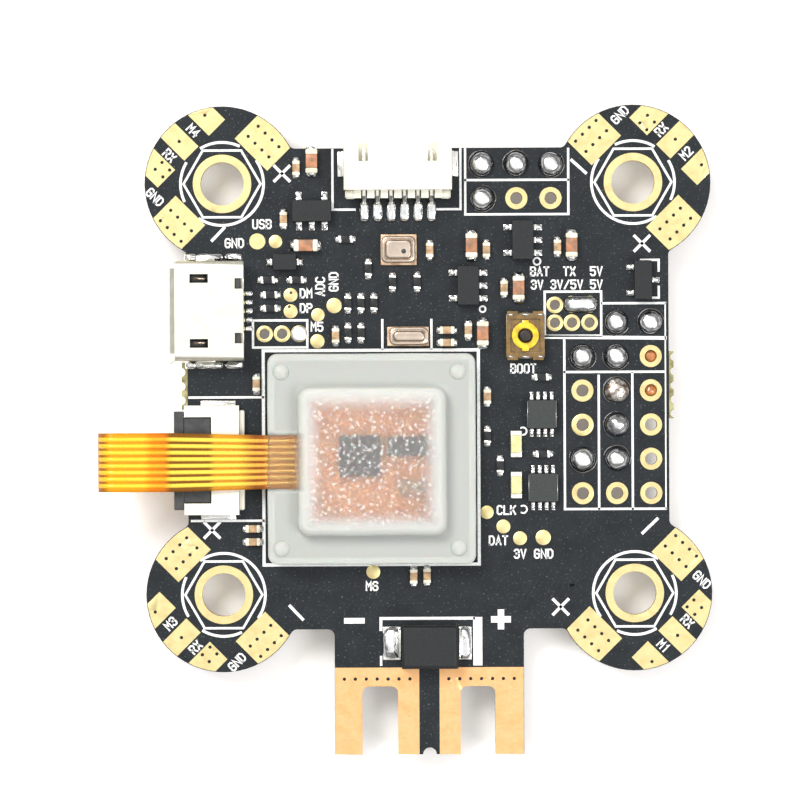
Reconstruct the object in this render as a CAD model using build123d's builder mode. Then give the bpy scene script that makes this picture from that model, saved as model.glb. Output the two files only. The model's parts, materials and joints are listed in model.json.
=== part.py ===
"""Flight controller board for a small multirotor, as an assembly of separate pieces.

Frame: origin at the centre of the four mounting holes on the underside face of the bare board,
+X to the right, +Y towards the serial socket, +Z out of the component side. Millimetres.
"""

import os
from math import cos, radians, sin

from build123d import *

os.makedirs("parts", exist_ok=True)

on_top = (Align.CENTER, Align.CENTER, Align.MIN)
under = (Align.CENTER, Align.CENTER, Align.MAX)

# ---------------------------------------------------------------- driving dimensions
board_t = 1.6
top = board_t
body_size = 35.7
body_half = body_size / 2
hole_pitch = 30.5
lobe_r = 5.75
router_r = 0.5

mount_hole_r = 1.6
mount_ring_r = 2.18
plating_t = 0.05
plate_top = top + plating_t

# stubs and bites at both side edges: x, y, width, length and x, first y, count, radius
edge_stubs = ((-17.95, 0.25, 0.7, 3.5), (17.95, 0.2, 0.5, 5.0))
edge_bites = ((-18.35, 1.27, 3, 0.33), (18.25, 2.25, 5, 0.28))
bite_pitch = 1.05

tab_w = 14.05
tab_end_y = -27.15
tab_centre_x = -0.02
fork_slot_top_y = -22.1
fork_slot_r = 0.5
fork_slot_overrun = 1.0
fork_gold_top_y = -20.7
fork_slots = ((-3.68, 2.65), (3.58, 2.57))
fork_plates = ((-3.9, 6.25), (3.85, 6.25))
fork_notch_r = 0.5
fork_via_y = -21.55
fork_via_pitch = 0.81
fork_via_count = 7

# solder pads on each lobe, in the lobe's own frame: u points outwards, v runs round the lobe
pad_edge_r = 5.7
large_pad_v = 3.05
large_pads = ((0.28, 3.1, 1), (0.0, 3.4, -1))
small_pad_u = 3.2
small_pads = ((2.63, 1.85), (0.0, 1.5), (-2.7, 1.7))
via_r = 0.125
large_via_u = ((0.24, 1), (0.02, -1))
large_via_v = ((4.07, 5.16), (3.87, 4.93))
large_via_pitch = 0.72
large_via_count = 4
small_vias = ((3.48, 2.0), (4.28, 2.0), (3.48, 2.72), (4.28, 2.72), (4.47, 0.0), (4.49, -2.72))

# pin-header holes, and the joints of them that are filled with solder
header_pitch = 2.54
header_ring_r = 0.825
header_hole_r = 0.45
top_header_x = [4.05 + header_pitch * i for i in range(3)]
top_header_y = [16.63 - header_pitch * i for i in range(2)]
side_header_x = [11.43 + header_pitch * i for i in range(3)]
side_header_y = [4.87 - header_pitch * i for i in range(6)]
top_header = [(x, y) for y in top_header_y for x in top_header_x]
side_header = [(x, y) for y in side_header_y for x in side_header_x]
header_points = top_header + side_header[1:]
header_soldered = top_header[:4] + [side_header[i] for i in (1, 2, 3, 4, 7, 10, 12, 13)]
joint_profile = ((0.74, 0), (0.48, 0.3), (0.3, 0.62), (0, 0.72))

jumper_ring_r = 0.625
jumper_hole_r = 0.375
jumper_bridge = ((10.67, 6.2), (11.98, 6.2))
bridge_w = 1.24
bridge_h = 0.55
bridge_taper = 28
radio_points = ((-12.14, 4.1), (-10.84, 4.1), (-9.57, 4.1))
radio_fill = (0.55, 0.38, 0.14)
jumper_points = ((9.41, 6.15), (9.41, 4.83), (10.67, 4.83), (11.98, 4.83)) + jumper_bridge + radio_points

test_pad_t = 0.04
test_pads = (
    (-12.65, 10.97, 0.6), (-11.3, 10.95, 0.5), (-10.2, 6.98, 0.52), (-10.2, 5.77, 0.52),
    (-8.18, 5.5, 0.5), (-6.97, 6.18, 0.57), (-8.22, 3.54, 0.53), (-4.15, -13.6, 0.52),
    (4.31, -9.21, 0.5), (5.52, -10.27, 0.52), (6.75, -11.15, 0.52), (8.47, -11.1, 0.57),
)


def save(piece, name):
    """Label a finished piece and write its file."""
    piece.part.label = name
    export_step(piece.part, f"parts/{name}.step")


def lobe_location(index):
    """Frame of one lobe: local X points outwards along the diagonal, local Y runs round it."""
    angle = 45 + 90 * index
    reach = hole_pitch / 2 * 2**0.5
    return Location((reach * cos(radians(angle)), reach * sin(radians(angle)), 0), (0, 0, angle))


def fork_slot_outlines(mode):
    """Both battery slots in the open sketch, run out past the end of the tab."""
    for x, width in fork_slots:
        with Locations((x, (fork_slot_top_y + tab_end_y - fork_slot_overrun) / 2)):
            RectangleRounded(width, fork_slot_top_y - tab_end_y + fork_slot_overrun, fork_slot_r, mode=mode)


def plated_holes(name, points, ring_r, bore_r):
    """Copper rings on both faces of the board, joined by the barrel that lines each hole."""
    with BuildPart() as plating:
        with Locations(*[(x, y, -plating_t) for x, y in points]):
            Cylinder(bore_r + plating_t, board_t + 2 * plating_t, align=on_top)
        for z in (-plating_t, top):
            with Locations(*[(x, y, z) for x, y in points]):
                Cylinder(ring_r, plating_t, align=on_top)
        with Locations(*[(x, y, plate_top) for x, y in points]):
            Hole(bore_r)
    save(plating, name)


def gull_lead(reach, rise, width, thick=0.15, foot=0.45):
    """One gull-wing lead: enters the body at the origin, steps down and runs out along +X."""
    with BuildPart() as lead:
        with BuildSketch(Plane.XZ):
            with BuildLine():
                Polyline(
                    (0, rise), (reach - foot, rise), (reach - foot, thick), (reach, thick),
                    (reach, 0), (reach - foot - thick, 0), (reach - foot - thick, rise - thick),
                    (0, rise - thick), (0, rise),
                )
            make_face()
        extrude(amount=width / 2, both=True)
    return lead.part


def chip_groups(name, places, length, width, height, terminal):
    """Two-terminal chips as two nodes: the bodies, and the metal end caps that close them."""
    inset = 0.96
    spots = [Location((x, y, top), (0, 0, angle)) for x, y, angle in places]
    with BuildPart() as bodies:
        with Locations(*spots):
            Box(length - 2 * terminal, width * inset, height * inset, align=on_top)
    save(bodies, f"{name}_bodies")
    with BuildPart() as ends:
        for side in (-1, 1):
            shift = Location((side * (length - terminal) / 2, 0, 0))
            with Locations(*[spot * shift for spot in spots]):
                Box(terminal, width, height, align=on_top)
    save(ends, f"{name}_terminals")


# ---------------------------------------------------------------- board
with BuildPart() as circuit_board:
    with BuildSketch():
        Rectangle(body_size, body_size)
        with GridLocations(hole_pitch, hole_pitch, 2, 2):
            Circle(lobe_r)
        with Locations((tab_centre_x, (tab_end_y - body_half) / 2)):
            Rectangle(tab_w, -tab_end_y - body_half)
    extrude(amount=board_t)
    inner_corners = circuit_board.edges().filter_by(Axis.Z).filter_by(
        lambda e: abs(max(abs(e.center().X), abs(e.center().Y)) - body_half) < 0.01
    )
    fillet(inner_corners, router_r)
    # stubs left where the board was snapped out of its panel
    with BuildSketch():
        for x, y, width, length in edge_stubs:
            with Locations((x, y)):
                Rectangle(width, length)
    extrude(amount=board_t)
    with BuildSketch():
        for x, first_y, count, radius in edge_bites:
            with Locations(*[(x, first_y - bite_pitch * i) for i in range(count)]):
                Circle(radius)
    extrude(amount=board_t, mode=Mode.SUBTRACT)
    # battery fork: two slots that open at the end of the tab, and a shallow notch between them
    with BuildSketch():
        fork_slot_outlines(Mode.ADD)
        with Locations((0, tab_end_y)):
            Circle(fork_notch_r)
    extrude(amount=board_t, mode=Mode.SUBTRACT)
    with GridLocations(hole_pitch, hole_pitch, 2, 2):
        Hole(mount_hole_r + plating_t)
    with Locations(*header_points):
        Hole(header_hole_r + plating_t)
    with Locations(*jumper_points):
        Hole(jumper_hole_r + plating_t)
save(circuit_board, "circuit_board")

mount_points = [(sx * hole_pitch / 2, sy * hole_pitch / 2) for sx in (-1, 1) for sy in (-1, 1)]
plated_holes("mounting_hole_plating", mount_points, mount_ring_r, mount_hole_r)
plated_holes("header_hole_plating", header_points, header_ring_r, header_hole_r)
plated_holes("jumper_hole_plating", jumper_points, jumper_ring_r, jumper_hole_r)

# ---------------------------------------------------------------- flat pads
with BuildPart() as motor_solder_pads:
    for index in range(4):
        lobe = lobe_location(index)
        with BuildSketch(Plane(lobe).offset(top)):
            for centre_u, width, side in large_pads:
                with Locations((centre_u, side * (large_pad_v + pad_edge_r) / 2)):
                    Rectangle(width, pad_edge_r - large_pad_v)
            for centre_v, width in small_pads:
                with Locations(((small_pad_u + pad_edge_r) / 2, centre_v)):
                    Rectangle(pad_edge_r - small_pad_u, width)
            Circle(pad_edge_r, mode=Mode.INTERSECT)
            for (centre_u, side), rows in zip(large_via_u, large_via_v):
                for row in rows:
                    with Locations((centre_u, side * row)):
                        with GridLocations(large_via_pitch, 1, large_via_count, 1):
                            Circle(via_r, mode=Mode.SUBTRACT)
            with Locations(*small_vias):
                Circle(via_r, mode=Mode.SUBTRACT)
        extrude(amount=plating_t)
save(motor_solder_pads, "motor_solder_pads")

with BuildPart() as battery_pads:
    for plate_x, plate_w in fork_plates:
        with BuildSketch(Plane.XY.offset(top)):
            with Locations((plate_x, (fork_gold_top_y + tab_end_y) / 2)):
                Rectangle(plate_w, fork_gold_top_y - tab_end_y)
            fork_slot_outlines(Mode.SUBTRACT)
            with Locations((plate_x, fork_via_y)):
                with GridLocations(fork_via_pitch, 1, fork_via_count, 1):
                    Circle(via_r, mode=Mode.SUBTRACT)
        extrude(amount=plating_t)
save(battery_pads, "battery_pads")

with BuildPart() as test_points:
    for x, y, r in test_pads:
        with Locations((x, y, top)):
            Cylinder(r, test_pad_t, align=on_top)
save(test_points, "test_pads")

# ---------------------------------------------------------------- solder
with BuildPart() as header_solder_joint:
    with BuildSketch(Plane.XZ):
        with BuildLine():
            crown = Spline(*[(r, plate_top + rise) for r, rise in joint_profile])
            Polyline(crown @ 1, (0, 0), (header_hole_r, 0), (header_hole_r, plate_top), crown @ 0)
        make_face()
    revolve(axis=Axis.Z)
with BuildPart() as header_solder_joints:
    with Locations(*[(x, y, 0) for x, y in header_soldered]):
        add(header_solder_joint.part)
save(header_solder_joints, "header_solder_joints")

(bridge_x0, bridge_y), (bridge_x1, _) = jumper_bridge
fill_x, fill_y = radio_points[2]
with BuildPart() as jumper_solder_joints:
    with BuildSketch(Plane.XY.offset(plate_top)):
        with Locations(((bridge_x0 + bridge_x1) / 2, bridge_y)):
            SlotOverall(bridge_x1 - bridge_x0 + bridge_w, bridge_w)
    extrude(amount=bridge_h, taper=bridge_taper)
    with Locations(*[(x, y, 0) for x, y in jumper_bridge], (fill_x, fill_y, 0)):
        Cylinder(jumper_hole_r, plate_top, align=on_top)
    with Locations((fill_x, fill_y, plate_top)):
        Cone(*radio_fill, align=on_top)
save(jumper_solder_joints, "jumper_solder_joints")

# ---------------------------------------------------------------- USB socket
usb_y = 5.8
usb_w = 7.4
usb_h = 2.5
usb_wall = 0.25
usb_corner_r = 0.4
usb_knee_h = 0.85
usb_foot_inset = 0.9
usb_mouth_x = -18.75
usb_rear_x = -13.65
usb_top = top + usb_h
usb_half = usb_w / 2
usb_outline = (
    (usb_y - usb_half, usb_top), (usb_y + usb_half, usb_top), (usb_y + usb_half, top + usb_knee_h),
    (usb_y + usb_half - usb_foot_inset, top), (usb_y - usb_half + usb_foot_inset, top),
    (usb_y - usb_half, top + usb_knee_h),
)
# flared lips: how far out of the mouth, and how far past the wall, each edge of a lip lies
lip_outer = (0.32, 0.24)
lip_inner = (0.42, 0.06)
roof_lip_half = usb_half - 0.55
side_lip_z = top + 1.15
side_lip_h = 0.95
leg_x = -16.5
leg_length = 1.4
leg_t = 0.18
leg_h = 1.1
leg_foot_w = 0.5
leg_foot_t = 0.2
latch_window = (-16.95, 2.4, 1.35, 0.65)
rear_notch = (-13.95, 2.02, 0.7, 0.78)
rear_notch_depth = 1.3
tail_gap_w = 3.4
tail_gap_h = 0.3

usb_pitch = 0.65
contact_w = 0.28
contact_t = 0.12
contact_tip_x = -18.1
contact_bend_x = -14.3
contact_tail_x = -13.04
tongue_z = 3.25
tongue_t = 0.55
tongue_w = 3.7
tongue_length = 3.6
tongue_x = -16.7
tongue_block_x = -14.9
tongue_play = 0.02


def lip_points(wall, side):
    """Section of one lip, bent outwards from the wall it grows from."""
    return (
        (usb_mouth_x, wall - side * usb_wall), (usb_mouth_x, wall),
        (usb_mouth_x - lip_outer[0], wall + side * lip_outer[1]),
        (usb_mouth_x - lip_inner[0], wall + side * lip_inner[1]),
    )


def usb_section(inset, x0, x1):
    """A length of the socket's six-sided section, set in from the outside by the inset."""
    with BuildPart() as section:
        with BuildSketch(Plane.YZ.offset(x0)):
            with BuildLine():
                Polyline(*usb_outline, close=True)
            make_face()
            fillet(vertices(), usb_corner_r)
            if inset:
                offset(amount=-inset, mode=Mode.REPLACE)
        extrude(amount=x1 - x0)
    return section.part


with BuildPart() as usb_shell:
    add(usb_section(0, usb_mouth_x, usb_rear_x))
    add(usb_section(usb_wall, usb_mouth_x - 1, usb_rear_x - usb_wall), mode=Mode.SUBTRACT)
    with BuildSketch(Plane.XZ.offset(-usb_y)):
        with BuildLine():
            Polyline(*lip_points(usb_top, 1), close=True)
        make_face()
    extrude(amount=roof_lip_half, both=True)
    for side in (-1, 1):
        with BuildSketch(Plane.XY.offset(side_lip_z)):
            with BuildLine():
                Polyline(*lip_points(usb_y + side * usb_half, side), close=True)
            make_face()
        extrude(amount=side_lip_h)
        # side legs soldered to the board
        with Locations((leg_x, usb_y + side * (usb_half - leg_t / 2), top)):
            Box(leg_length, leg_t, leg_h, align=on_top)
        with Locations((leg_x, usb_y + side * (usb_half - leg_t / 2 + leg_foot_w / 2), top)):
            Box(leg_length, leg_foot_w, leg_foot_t, align=on_top)
        # latch windows in the roof and notches at the rear edge
        with Locations((latch_window[0], usb_y + side * latch_window[1], usb_top)):
            Box(latch_window[2], latch_window[3], 4 * usb_wall, mode=Mode.SUBTRACT)
        with Locations((rear_notch[0], usb_y + side * rear_notch[1], usb_top)):
            Box(rear_notch[2], rear_notch[3], 2 * rear_notch_depth, mode=Mode.SUBTRACT)
    # the rear plate stops above the contact tails
    with Locations((usb_rear_x, usb_y, top)):
        Box(8 * usb_wall, tail_gap_w, 2 * tail_gap_h, mode=Mode.SUBTRACT)
save(usb_shell, "usb_shell")

with BuildPart() as usb_contacts:
    with BuildSketch(Plane.XZ.offset(-usb_y)):
        with BuildLine():
            Polyline(
                (contact_tip_x, tongue_z), (contact_bend_x, tongue_z), (contact_bend_x, top),
                (contact_tail_x, top), (contact_tail_x, top + contact_t),
                (contact_bend_x + contact_t, top + contact_t),
                (contact_bend_x + contact_t, tongue_z + contact_t),
                (contact_tip_x, tongue_z + contact_t), close=True,
            )
        make_face()
    extrude(amount=contact_w / 2, both=True)
    with Locations(*[(0, usb_pitch * i, 0) for i in (-2, -1, 1, 2)]):
        add(usb_contacts.part.solids()[0])
save(usb_contacts, "usb_contacts")

with BuildPart() as usb_tongue:
    add(usb_section(usb_wall + tongue_play, tongue_block_x, usb_rear_x - usb_wall - tongue_play))
    with Locations((tongue_x, usb_y, tongue_z)):
        Box(tongue_length, tongue_w, tongue_t, align=on_top)
    add(usb_contacts.part, mode=Mode.SUBTRACT)
save(usb_tongue, "usb_tongue")

# ---------------------------------------------------------------- serial socket
uart_x = -2.2
uart_w = 8.0
uart_h = 2.95
uart_lift = 0.05
uart_rear_y = 14.7
uart_mouth_y = 18.2
uart_edge = 0.15
uart_pins = 6
uart_pitch = 1.0
uart_pin_w = 0.3
uart_pin_z = top + 1.55
uart_pin_y = (14.6, 17.8)
uart_lead_profile = (
    (14.6, uart_pin_z + 0.15), (14.25, uart_pin_z + 0.15), (13.72, top + 0.2), (12.5, top + 0.2),
    (12.5, top), (13.85, top), (14.4, uart_pin_z - 0.15), (14.6, uart_pin_z - 0.15),
)
uart_tab_y = 16.66
uart_tab_length = 1.87
uart_tab_t = 0.18
uart_tab_h = 1.3
uart_tab_foot_w = 0.42
uart_tab_foot_t = 0.2
uart_cavity = (6.5, 2.9, 1.75)
uart_cavity_z = top + 0.75
uart_key_slot = (0.7, 1.4, 0.9)
uart_key_slot_x = 2.55
uart_tooth = (0.56, 0.6, 1.3)
uart_tooth_z = top + 0.9

uart_lead_x = [uart_x + uart_pitch * (i - (uart_pins - 1) / 2) for i in range(uart_pins)]
with BuildPart() as uart_connector_contacts:
    for x in uart_lead_x:
        with Locations((x, sum(uart_pin_y) / 2, uart_pin_z)):
            Box(uart_pin_w, uart_pin_y[1] - uart_pin_y[0], uart_pin_w)
        with BuildSketch(Plane.YZ.offset(x - uart_pin_w / 2)):
            with BuildLine():
                Polyline(*uart_lead_profile, close=True)
            make_face()
        extrude(amount=uart_pin_w)
save(uart_connector_contacts, "uart_connector_contacts")

with BuildPart() as uart_connector_anchor_tabs:
    for side in (-1, 1):
        with Locations((uart_x + side * (uart_w + uart_tab_t) / 2, uart_tab_y, top)):
            Box(uart_tab_t, uart_tab_length, uart_tab_h, align=on_top)
        foot_x = uart_w / 2 + uart_tab_t / 3 + uart_tab_foot_w / 2
        with Locations((uart_x + side * foot_x, uart_tab_y, top)):
            Box(uart_tab_foot_w, uart_tab_length, uart_tab_foot_t, align=on_top)
save(uart_connector_anchor_tabs, "uart_connector_anchor_tabs")

with BuildPart() as uart_connector_housing:
    with Locations((uart_x, uart_rear_y, top + uart_lift)):
        Box(
            uart_w, uart_mouth_y - uart_rear_y, uart_h - uart_lift,
            align=(Align.CENTER, Align.MIN, Align.MIN),
        )
    chamfer(uart_connector_housing.edges().filter_by(Axis.Y), uart_edge)
    with Locations((uart_x, uart_mouth_y, uart_cavity_z)):
        Box(*uart_cavity, align=(Align.CENTER, Align.MAX, Align.MIN), mode=Mode.SUBTRACT)
    # key slots on both sides of the roof
    with Locations(*[(uart_x + side * uart_key_slot_x, uart_mouth_y, top + uart_h) for side in (-1, 1)]):
        Box(*uart_key_slot, align=(Align.CENTER, Align.MAX, Align.CENTER), mode=Mode.SUBTRACT)
    # teeth that keep the leads apart behind the rear wall
    tooth_x = [uart_x + uart_pitch * (i - uart_pins / 2) for i in range(uart_pins + 1)]
    with Locations(*[(x, uart_rear_y, uart_tooth_z) for x in tooth_x]):
        Box(*uart_tooth, align=(Align.CENTER, Align.MAX, Align.MIN))
    add(uart_connector_contacts.part, mode=Mode.SUBTRACT)
save(uart_connector_housing, "uart_connector_housing")

# ---------------------------------------------------------------- flat-flex socket
ribbon_y = -5.4
ribbon_t = 0.12
ribbon_wide = 4.35
ribbon_narrow = 3.95
ribbon_slot_z = 2.2

zif_y = -5.25
zif_w = 8.1
zif_top = 3.1
zif_lift = 0.05
zif_mouth_x = -18.1
zif_rear_x = -14.05
zif_arm_x = -16.1
zif_arm_w = 0.85
zif_floor_z = top + 0.3
zif_bay_w = zif_w - 2 * zif_arm_w
zif_pins = 8
zif_pitch = 0.5
zif_contact_w = 0.2
zif_contact_profile = (
    (-17.6, 2.1), (-14.6, 2.1), (-14.3, 1.72), (-13.55, 1.72), (-13.55, top),
    (-14.42, top), (-14.72, 1.98), (-17.6, 1.98),
)
zif_tab_x = -15.6
zif_tab_length = 2.6
zif_tab_foot = (0.36, 0.2)
zif_tab_wall = (0.14, 0.7)
zif_slot = (0.5, 0.2, 0.24)

slider_bar_x = -18.86
slider_bar_w = 7.3
slider_bar_z = 1.75
slider_bar_h = 1.3
slider_gap = 0.04
slider_shift = -0.03
slider_tongue_z = 2.42
slider_tongue_t = 0.5
slider_tongue_x = (-18.6, -16.15)
slider_tongue_play = 0.12
slider_slot = (1.2, 0.3, 0.4)

zif_lead_y = [zif_y + zif_pitch * (i - (zif_pins - 1) / 2) for i in range(zif_pins)]
with BuildPart() as flex_connector_contacts:
    for y in zif_lead_y:
        with BuildSketch(Plane.XZ.offset(-y + zif_contact_w / 2)):
            with BuildLine():
                Polyline(*zif_contact_profile, close=True)
            make_face()
        extrude(amount=zif_contact_w)
save(flex_connector_contacts, "flex_connector_contacts")

foot_w, foot_t = zif_tab_foot
wall_w, wall_h = zif_tab_wall
with BuildPart() as flex_connector_anchor_tabs:
    for side in (-1, 1):
        with Locations((zif_tab_x, zif_y + side * (zif_w + foot_w) / 2, top)):
            Box(zif_tab_length, foot_w, foot_t, align=on_top)
        with Locations((zif_tab_x, zif_y + side * (zif_w + wall_w) / 2, top + foot_t)):
            Box(zif_tab_length, wall_w, wall_h, align=on_top)
save(flex_connector_anchor_tabs, "flex_connector_anchor_tabs")

with BuildPart() as flex_connector_housing:
    with Locations(((zif_mouth_x + zif_rear_x) / 2, zif_y, top + zif_lift)):
        Box(zif_rear_x - zif_mouth_x, zif_w, zif_top - top - zif_lift, align=on_top)
    # open bay between the arms
    with Locations((zif_mouth_x, zif_y, zif_floor_z)):
        Box(
            zif_arm_x - zif_mouth_x, zif_bay_w, zif_top,
            align=(Align.MIN, Align.CENTER, Align.MIN), mode=Mode.SUBTRACT,
        )
    # slot that takes the end of the ribbon
    slot_depth, slot_play, slot_h = zif_slot
    with Locations((zif_arm_x, ribbon_y, ribbon_slot_z)):
        Box(
            slot_depth, ribbon_wide + slot_play, slot_h,
            align=(Align.MIN, Align.CENTER, Align.CENTER), mode=Mode.SUBTRACT,
        )
    add(flex_connector_contacts.part, mode=Mode.SUBTRACT)
save(flex_connector_housing, "flex_connector_housing")

with BuildPart() as flex_connector_slider:
    bar_rear_x = zif_mouth_x - slider_gap
    with Locations(((bar_rear_x + slider_bar_x) / 2, zif_y + slider_shift, slider_bar_z)):
        Box(bar_rear_x - slider_bar_x, slider_bar_w, slider_bar_h, align=on_top)
    with Locations((sum(slider_tongue_x) / 2, zif_y, slider_tongue_z)):
        Box(
            slider_tongue_x[1] - slider_tongue_x[0], zif_bay_w - slider_tongue_play, slider_tongue_t,
            align=on_top,
        )
    slot_length, slot_play, slot_h = slider_slot
    with Locations((slider_tongue_x[0], ribbon_y, ribbon_slot_z)):
        Box(slot_length, ribbon_wide + slot_play, slot_h, mode=Mode.SUBTRACT)
save(flex_connector_slider, "flex_connector_slider")

# ---------------------------------------------------------------- ribbon and motion sensor
pod_x = -4.22
pod_y = -5.2
foam_size = (14.4, 14.6)
foam_corner_r = 0.4
foam_top = 3.0
imu_board_size = (9.4, 9.6)
imu_board_x = -4.25
imu_board_y = -5.15
imu_board_top = 3.4
imu_corner_r = 0.3
gyro_spot = (-5.1, -4.95, imu_board_top)
gyro_size = (3.0, 3.0, 0.9)
gyro_edge = 0.05
imu_regulator_spot = (-1.5, -4.26, imu_board_top)
imu_regulator_size = (3.1, 1.4, 0.8)
imu_capacitor_spot = (-1.3, -7.3, imu_board_top)
imu_capacitor_size = (1.9, 1.1, 0.8)

cover_size = (15.4, 15.6)
cover_corner_r = 0.5
cover_flange_top = 3.8
cover_dome_x = -4.17
cover_dome_y = -5.37
cover_dome_size = (11.0, 11.0)
cover_dome_r = 1.0
cover_dome_edge = 0.25
cover_dome_top = 5.2
cover_pocket_size = (10.2, 10.4)
cover_pocket_top = 4.5
pip_x = -4.37
pip_y = -5.27
pip_pitch = (13.1, 13.05)
pip_r = 0.6
pip_h = 0.35
cover_slot_length = 6.0
cover_slot_play = (0.4, 0.12)

ribbon_z = imu_board_top - ribbon_t / 2
ribbon_route = (
    (imu_board_x - imu_board_size[0] / 2, ribbon_z), (-12.4, ribbon_z), (-19.4, 4.0), (-24.45, 4.35),
    (-24.45, 1.85), (-20.4, ribbon_slot_z), (-16.2, ribbon_slot_z),
)
ribbon_bends = (9.0, 12.0, 1.15, 1.15, 8.0)
ribbon_widths = ((-30, ribbon_wide), (-19, ribbon_wide), (-11.5, ribbon_narrow), (-8, ribbon_narrow))
ribbon_reach_z = 8
with BuildPart() as flex_ribbon:
    with BuildSketch(Plane.XZ.offset(-ribbon_y)):
        with BuildLine():
            FilletPolyline(*ribbon_route, radius=ribbon_bends)
        trace(line_width=ribbon_t)
    extrude(amount=ribbon_wide / 2, both=True)
    # the ribbon narrows towards the sensor
    upper_edge = [(x, ribbon_y + width / 2) for x, width in ribbon_widths]
    lower_edge = [(x, ribbon_y - width / 2) for x, width in reversed(ribbon_widths)]
    with BuildSketch():
        with BuildLine():
            Polyline(*upper_edge, *lower_edge, close=True)
        make_face()
    extrude(amount=ribbon_reach_z, mode=Mode.INTERSECT)
save(flex_ribbon, "flex_ribbon")

with BuildPart() as foam_pad:
    with Locations((pod_x, pod_y, top)):
        Box(*foam_size, foam_top - top, align=on_top)
    fillet(foam_pad.edges().filter_by(Axis.Z), foam_corner_r)
save(foam_pad, "foam_pad")

with BuildPart() as imu_board:
    with Locations((imu_board_x, imu_board_y, foam_top)):
        Box(*imu_board_size, imu_board_top - foam_top, align=on_top)
    fillet(imu_board.edges().filter_by(Axis.Z), imu_corner_r)
save(imu_board, "imu_board")

with BuildPart() as gyro_chip:
    with Locations(gyro_spot):
        Box(*gyro_size, align=on_top)
    chamfer(gyro_chip.faces().sort_by(Axis.Z)[-1].edges(), gyro_edge)
save(gyro_chip, "gyro_chip")

with BuildPart() as imu_regulator:
    with Locations(imu_regulator_spot):
        Box(*imu_regulator_size, align=on_top)
save(imu_regulator, "imu_regulator")

with BuildPart() as imu_capacitor:
    with Locations(imu_capacitor_spot):
        Box(*imu_capacitor_size, align=on_top)
save(imu_capacitor, "imu_capacitor")

with BuildPart() as silicone_cover:
    with Locations((pod_x, pod_y, foam_top)):
        Box(*cover_size, cover_flange_top - foam_top, align=on_top)
    fillet(silicone_cover.edges().filter_by(Axis.Z), cover_corner_r)
    with BuildSketch(Plane.XY.offset(cover_flange_top)):
        with Locations((cover_dome_x, cover_dome_y)):
            RectangleRounded(*cover_dome_size, cover_dome_r)
    extrude(amount=cover_dome_top - cover_flange_top)
    chamfer(silicone_cover.faces().sort_by(Axis.Z)[-1].edges(), cover_dome_edge)
    # low round pips at the corners of the flange
    with Locations((pip_x, pip_y, cover_flange_top)):
        with GridLocations(*pip_pitch, 2, 2):
            Cylinder(pip_r, pip_h, align=on_top)
    with Locations((imu_board_x, imu_board_y, foam_top)):
        Box(*cover_pocket_size, cover_pocket_top - foam_top, align=on_top, mode=Mode.SUBTRACT)
    # slot under the flange for the ribbon
    play_w, play_h = cover_slot_play
    with Locations((pod_x - cover_size[0] / 2, ribbon_y, foam_top)):
        Box(
            cover_slot_length, ribbon_wide + play_w, imu_board_top + play_h - foam_top,
            align=on_top, mode=Mode.SUBTRACT,
        )
save(silicone_cover, "silicone_cover")

# ---------------------------------------------------------------- boot button
button_x = 7.2
button_y = 3.88
button_travel = 0.2
button_base_size = (2.7, 3.4)
button_base_h = 0.75
button_well_r = 1.12
button_deck = top + button_base_h
button_rest_gap = 0.05
dome_foot_r = 1.0
dome_foot_t = 0.05
dome_cone_r = (0.9, 0.3)
dome_z = button_deck - 0.55
dome_top = dome_z + 0.22
film_size = (2.5, 3.2)
film_t = 0.05
film_hole_r = 0.5
frame_size = (2.86, 3.2)
frame_window = (2.2, 2.45)
frame_t = 0.18
frame_lug = (0.8, 0.24)
frame_lug_pitch = (1.9, 3.4)
ring_r = 1.0
ring_bore_r = 0.55
ring_bar = (0.5, 2.3)
ring_t = 0.22
plunger_r = 0.44
plunger_h = 0.75
plunger_edge_r = 0.12

with BuildPart() as boot_button_base:
    with Locations((button_x, button_y, top)):
        Box(*button_base_size, button_base_h, align=on_top)
    with Locations((button_x, button_y, button_deck)):
        Hole(button_well_r, depth=button_deck - dome_z)
save(boot_button_base, "boot_button_base")

with BuildPart() as boot_button_dome:
    with Locations((button_x, button_y, dome_z)):
        Cylinder(dome_foot_r, dome_foot_t, align=on_top)
    with Locations((button_x, button_y, dome_z + dome_foot_t)):
        Cone(*dome_cone_r, dome_top - dome_z - dome_foot_t, align=on_top)
save(boot_button_dome, "boot_button_dome")

with BuildPart() as boot_button_film:
    with Locations((button_x, button_y, button_deck)):
        Box(*film_size, film_t, align=on_top)
        Hole(film_hole_r)
save(boot_button_film, "boot_button_film")

with BuildPart() as boot_button_frame:
    with BuildSketch(Plane.XY.offset(button_deck + film_t)):
        with Locations((button_x, button_y)):
            Rectangle(*frame_size)
            with GridLocations(*frame_lug_pitch, 2, 2):
                Rectangle(*frame_lug)
            Rectangle(*frame_window, mode=Mode.SUBTRACT)
    extrude(amount=frame_t)
save(boot_button_frame, "boot_button_frame")

with BuildPart() as boot_button_ring:
    with BuildSketch(Plane.XY.offset(button_deck + film_t)):
        with Locations((button_x, button_y)):
            Circle(ring_r)
            Rectangle(*ring_bar)
            Circle(ring_bore_r, mode=Mode.SUBTRACT)
    extrude(amount=ring_t)
save(boot_button_ring, "boot_button_ring")

with BuildPart() as boot_button_plunger:
    with Locations((button_x, button_y, dome_top + button_travel + button_rest_gap)):
        Cylinder(plunger_r, plunger_h, align=on_top)
    fillet(boot_button_plunger.faces().sort_by(Axis.Z)[-1].edges(), plunger_edge_r)
save(boot_button_plunger, "boot_button_plunger")

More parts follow.
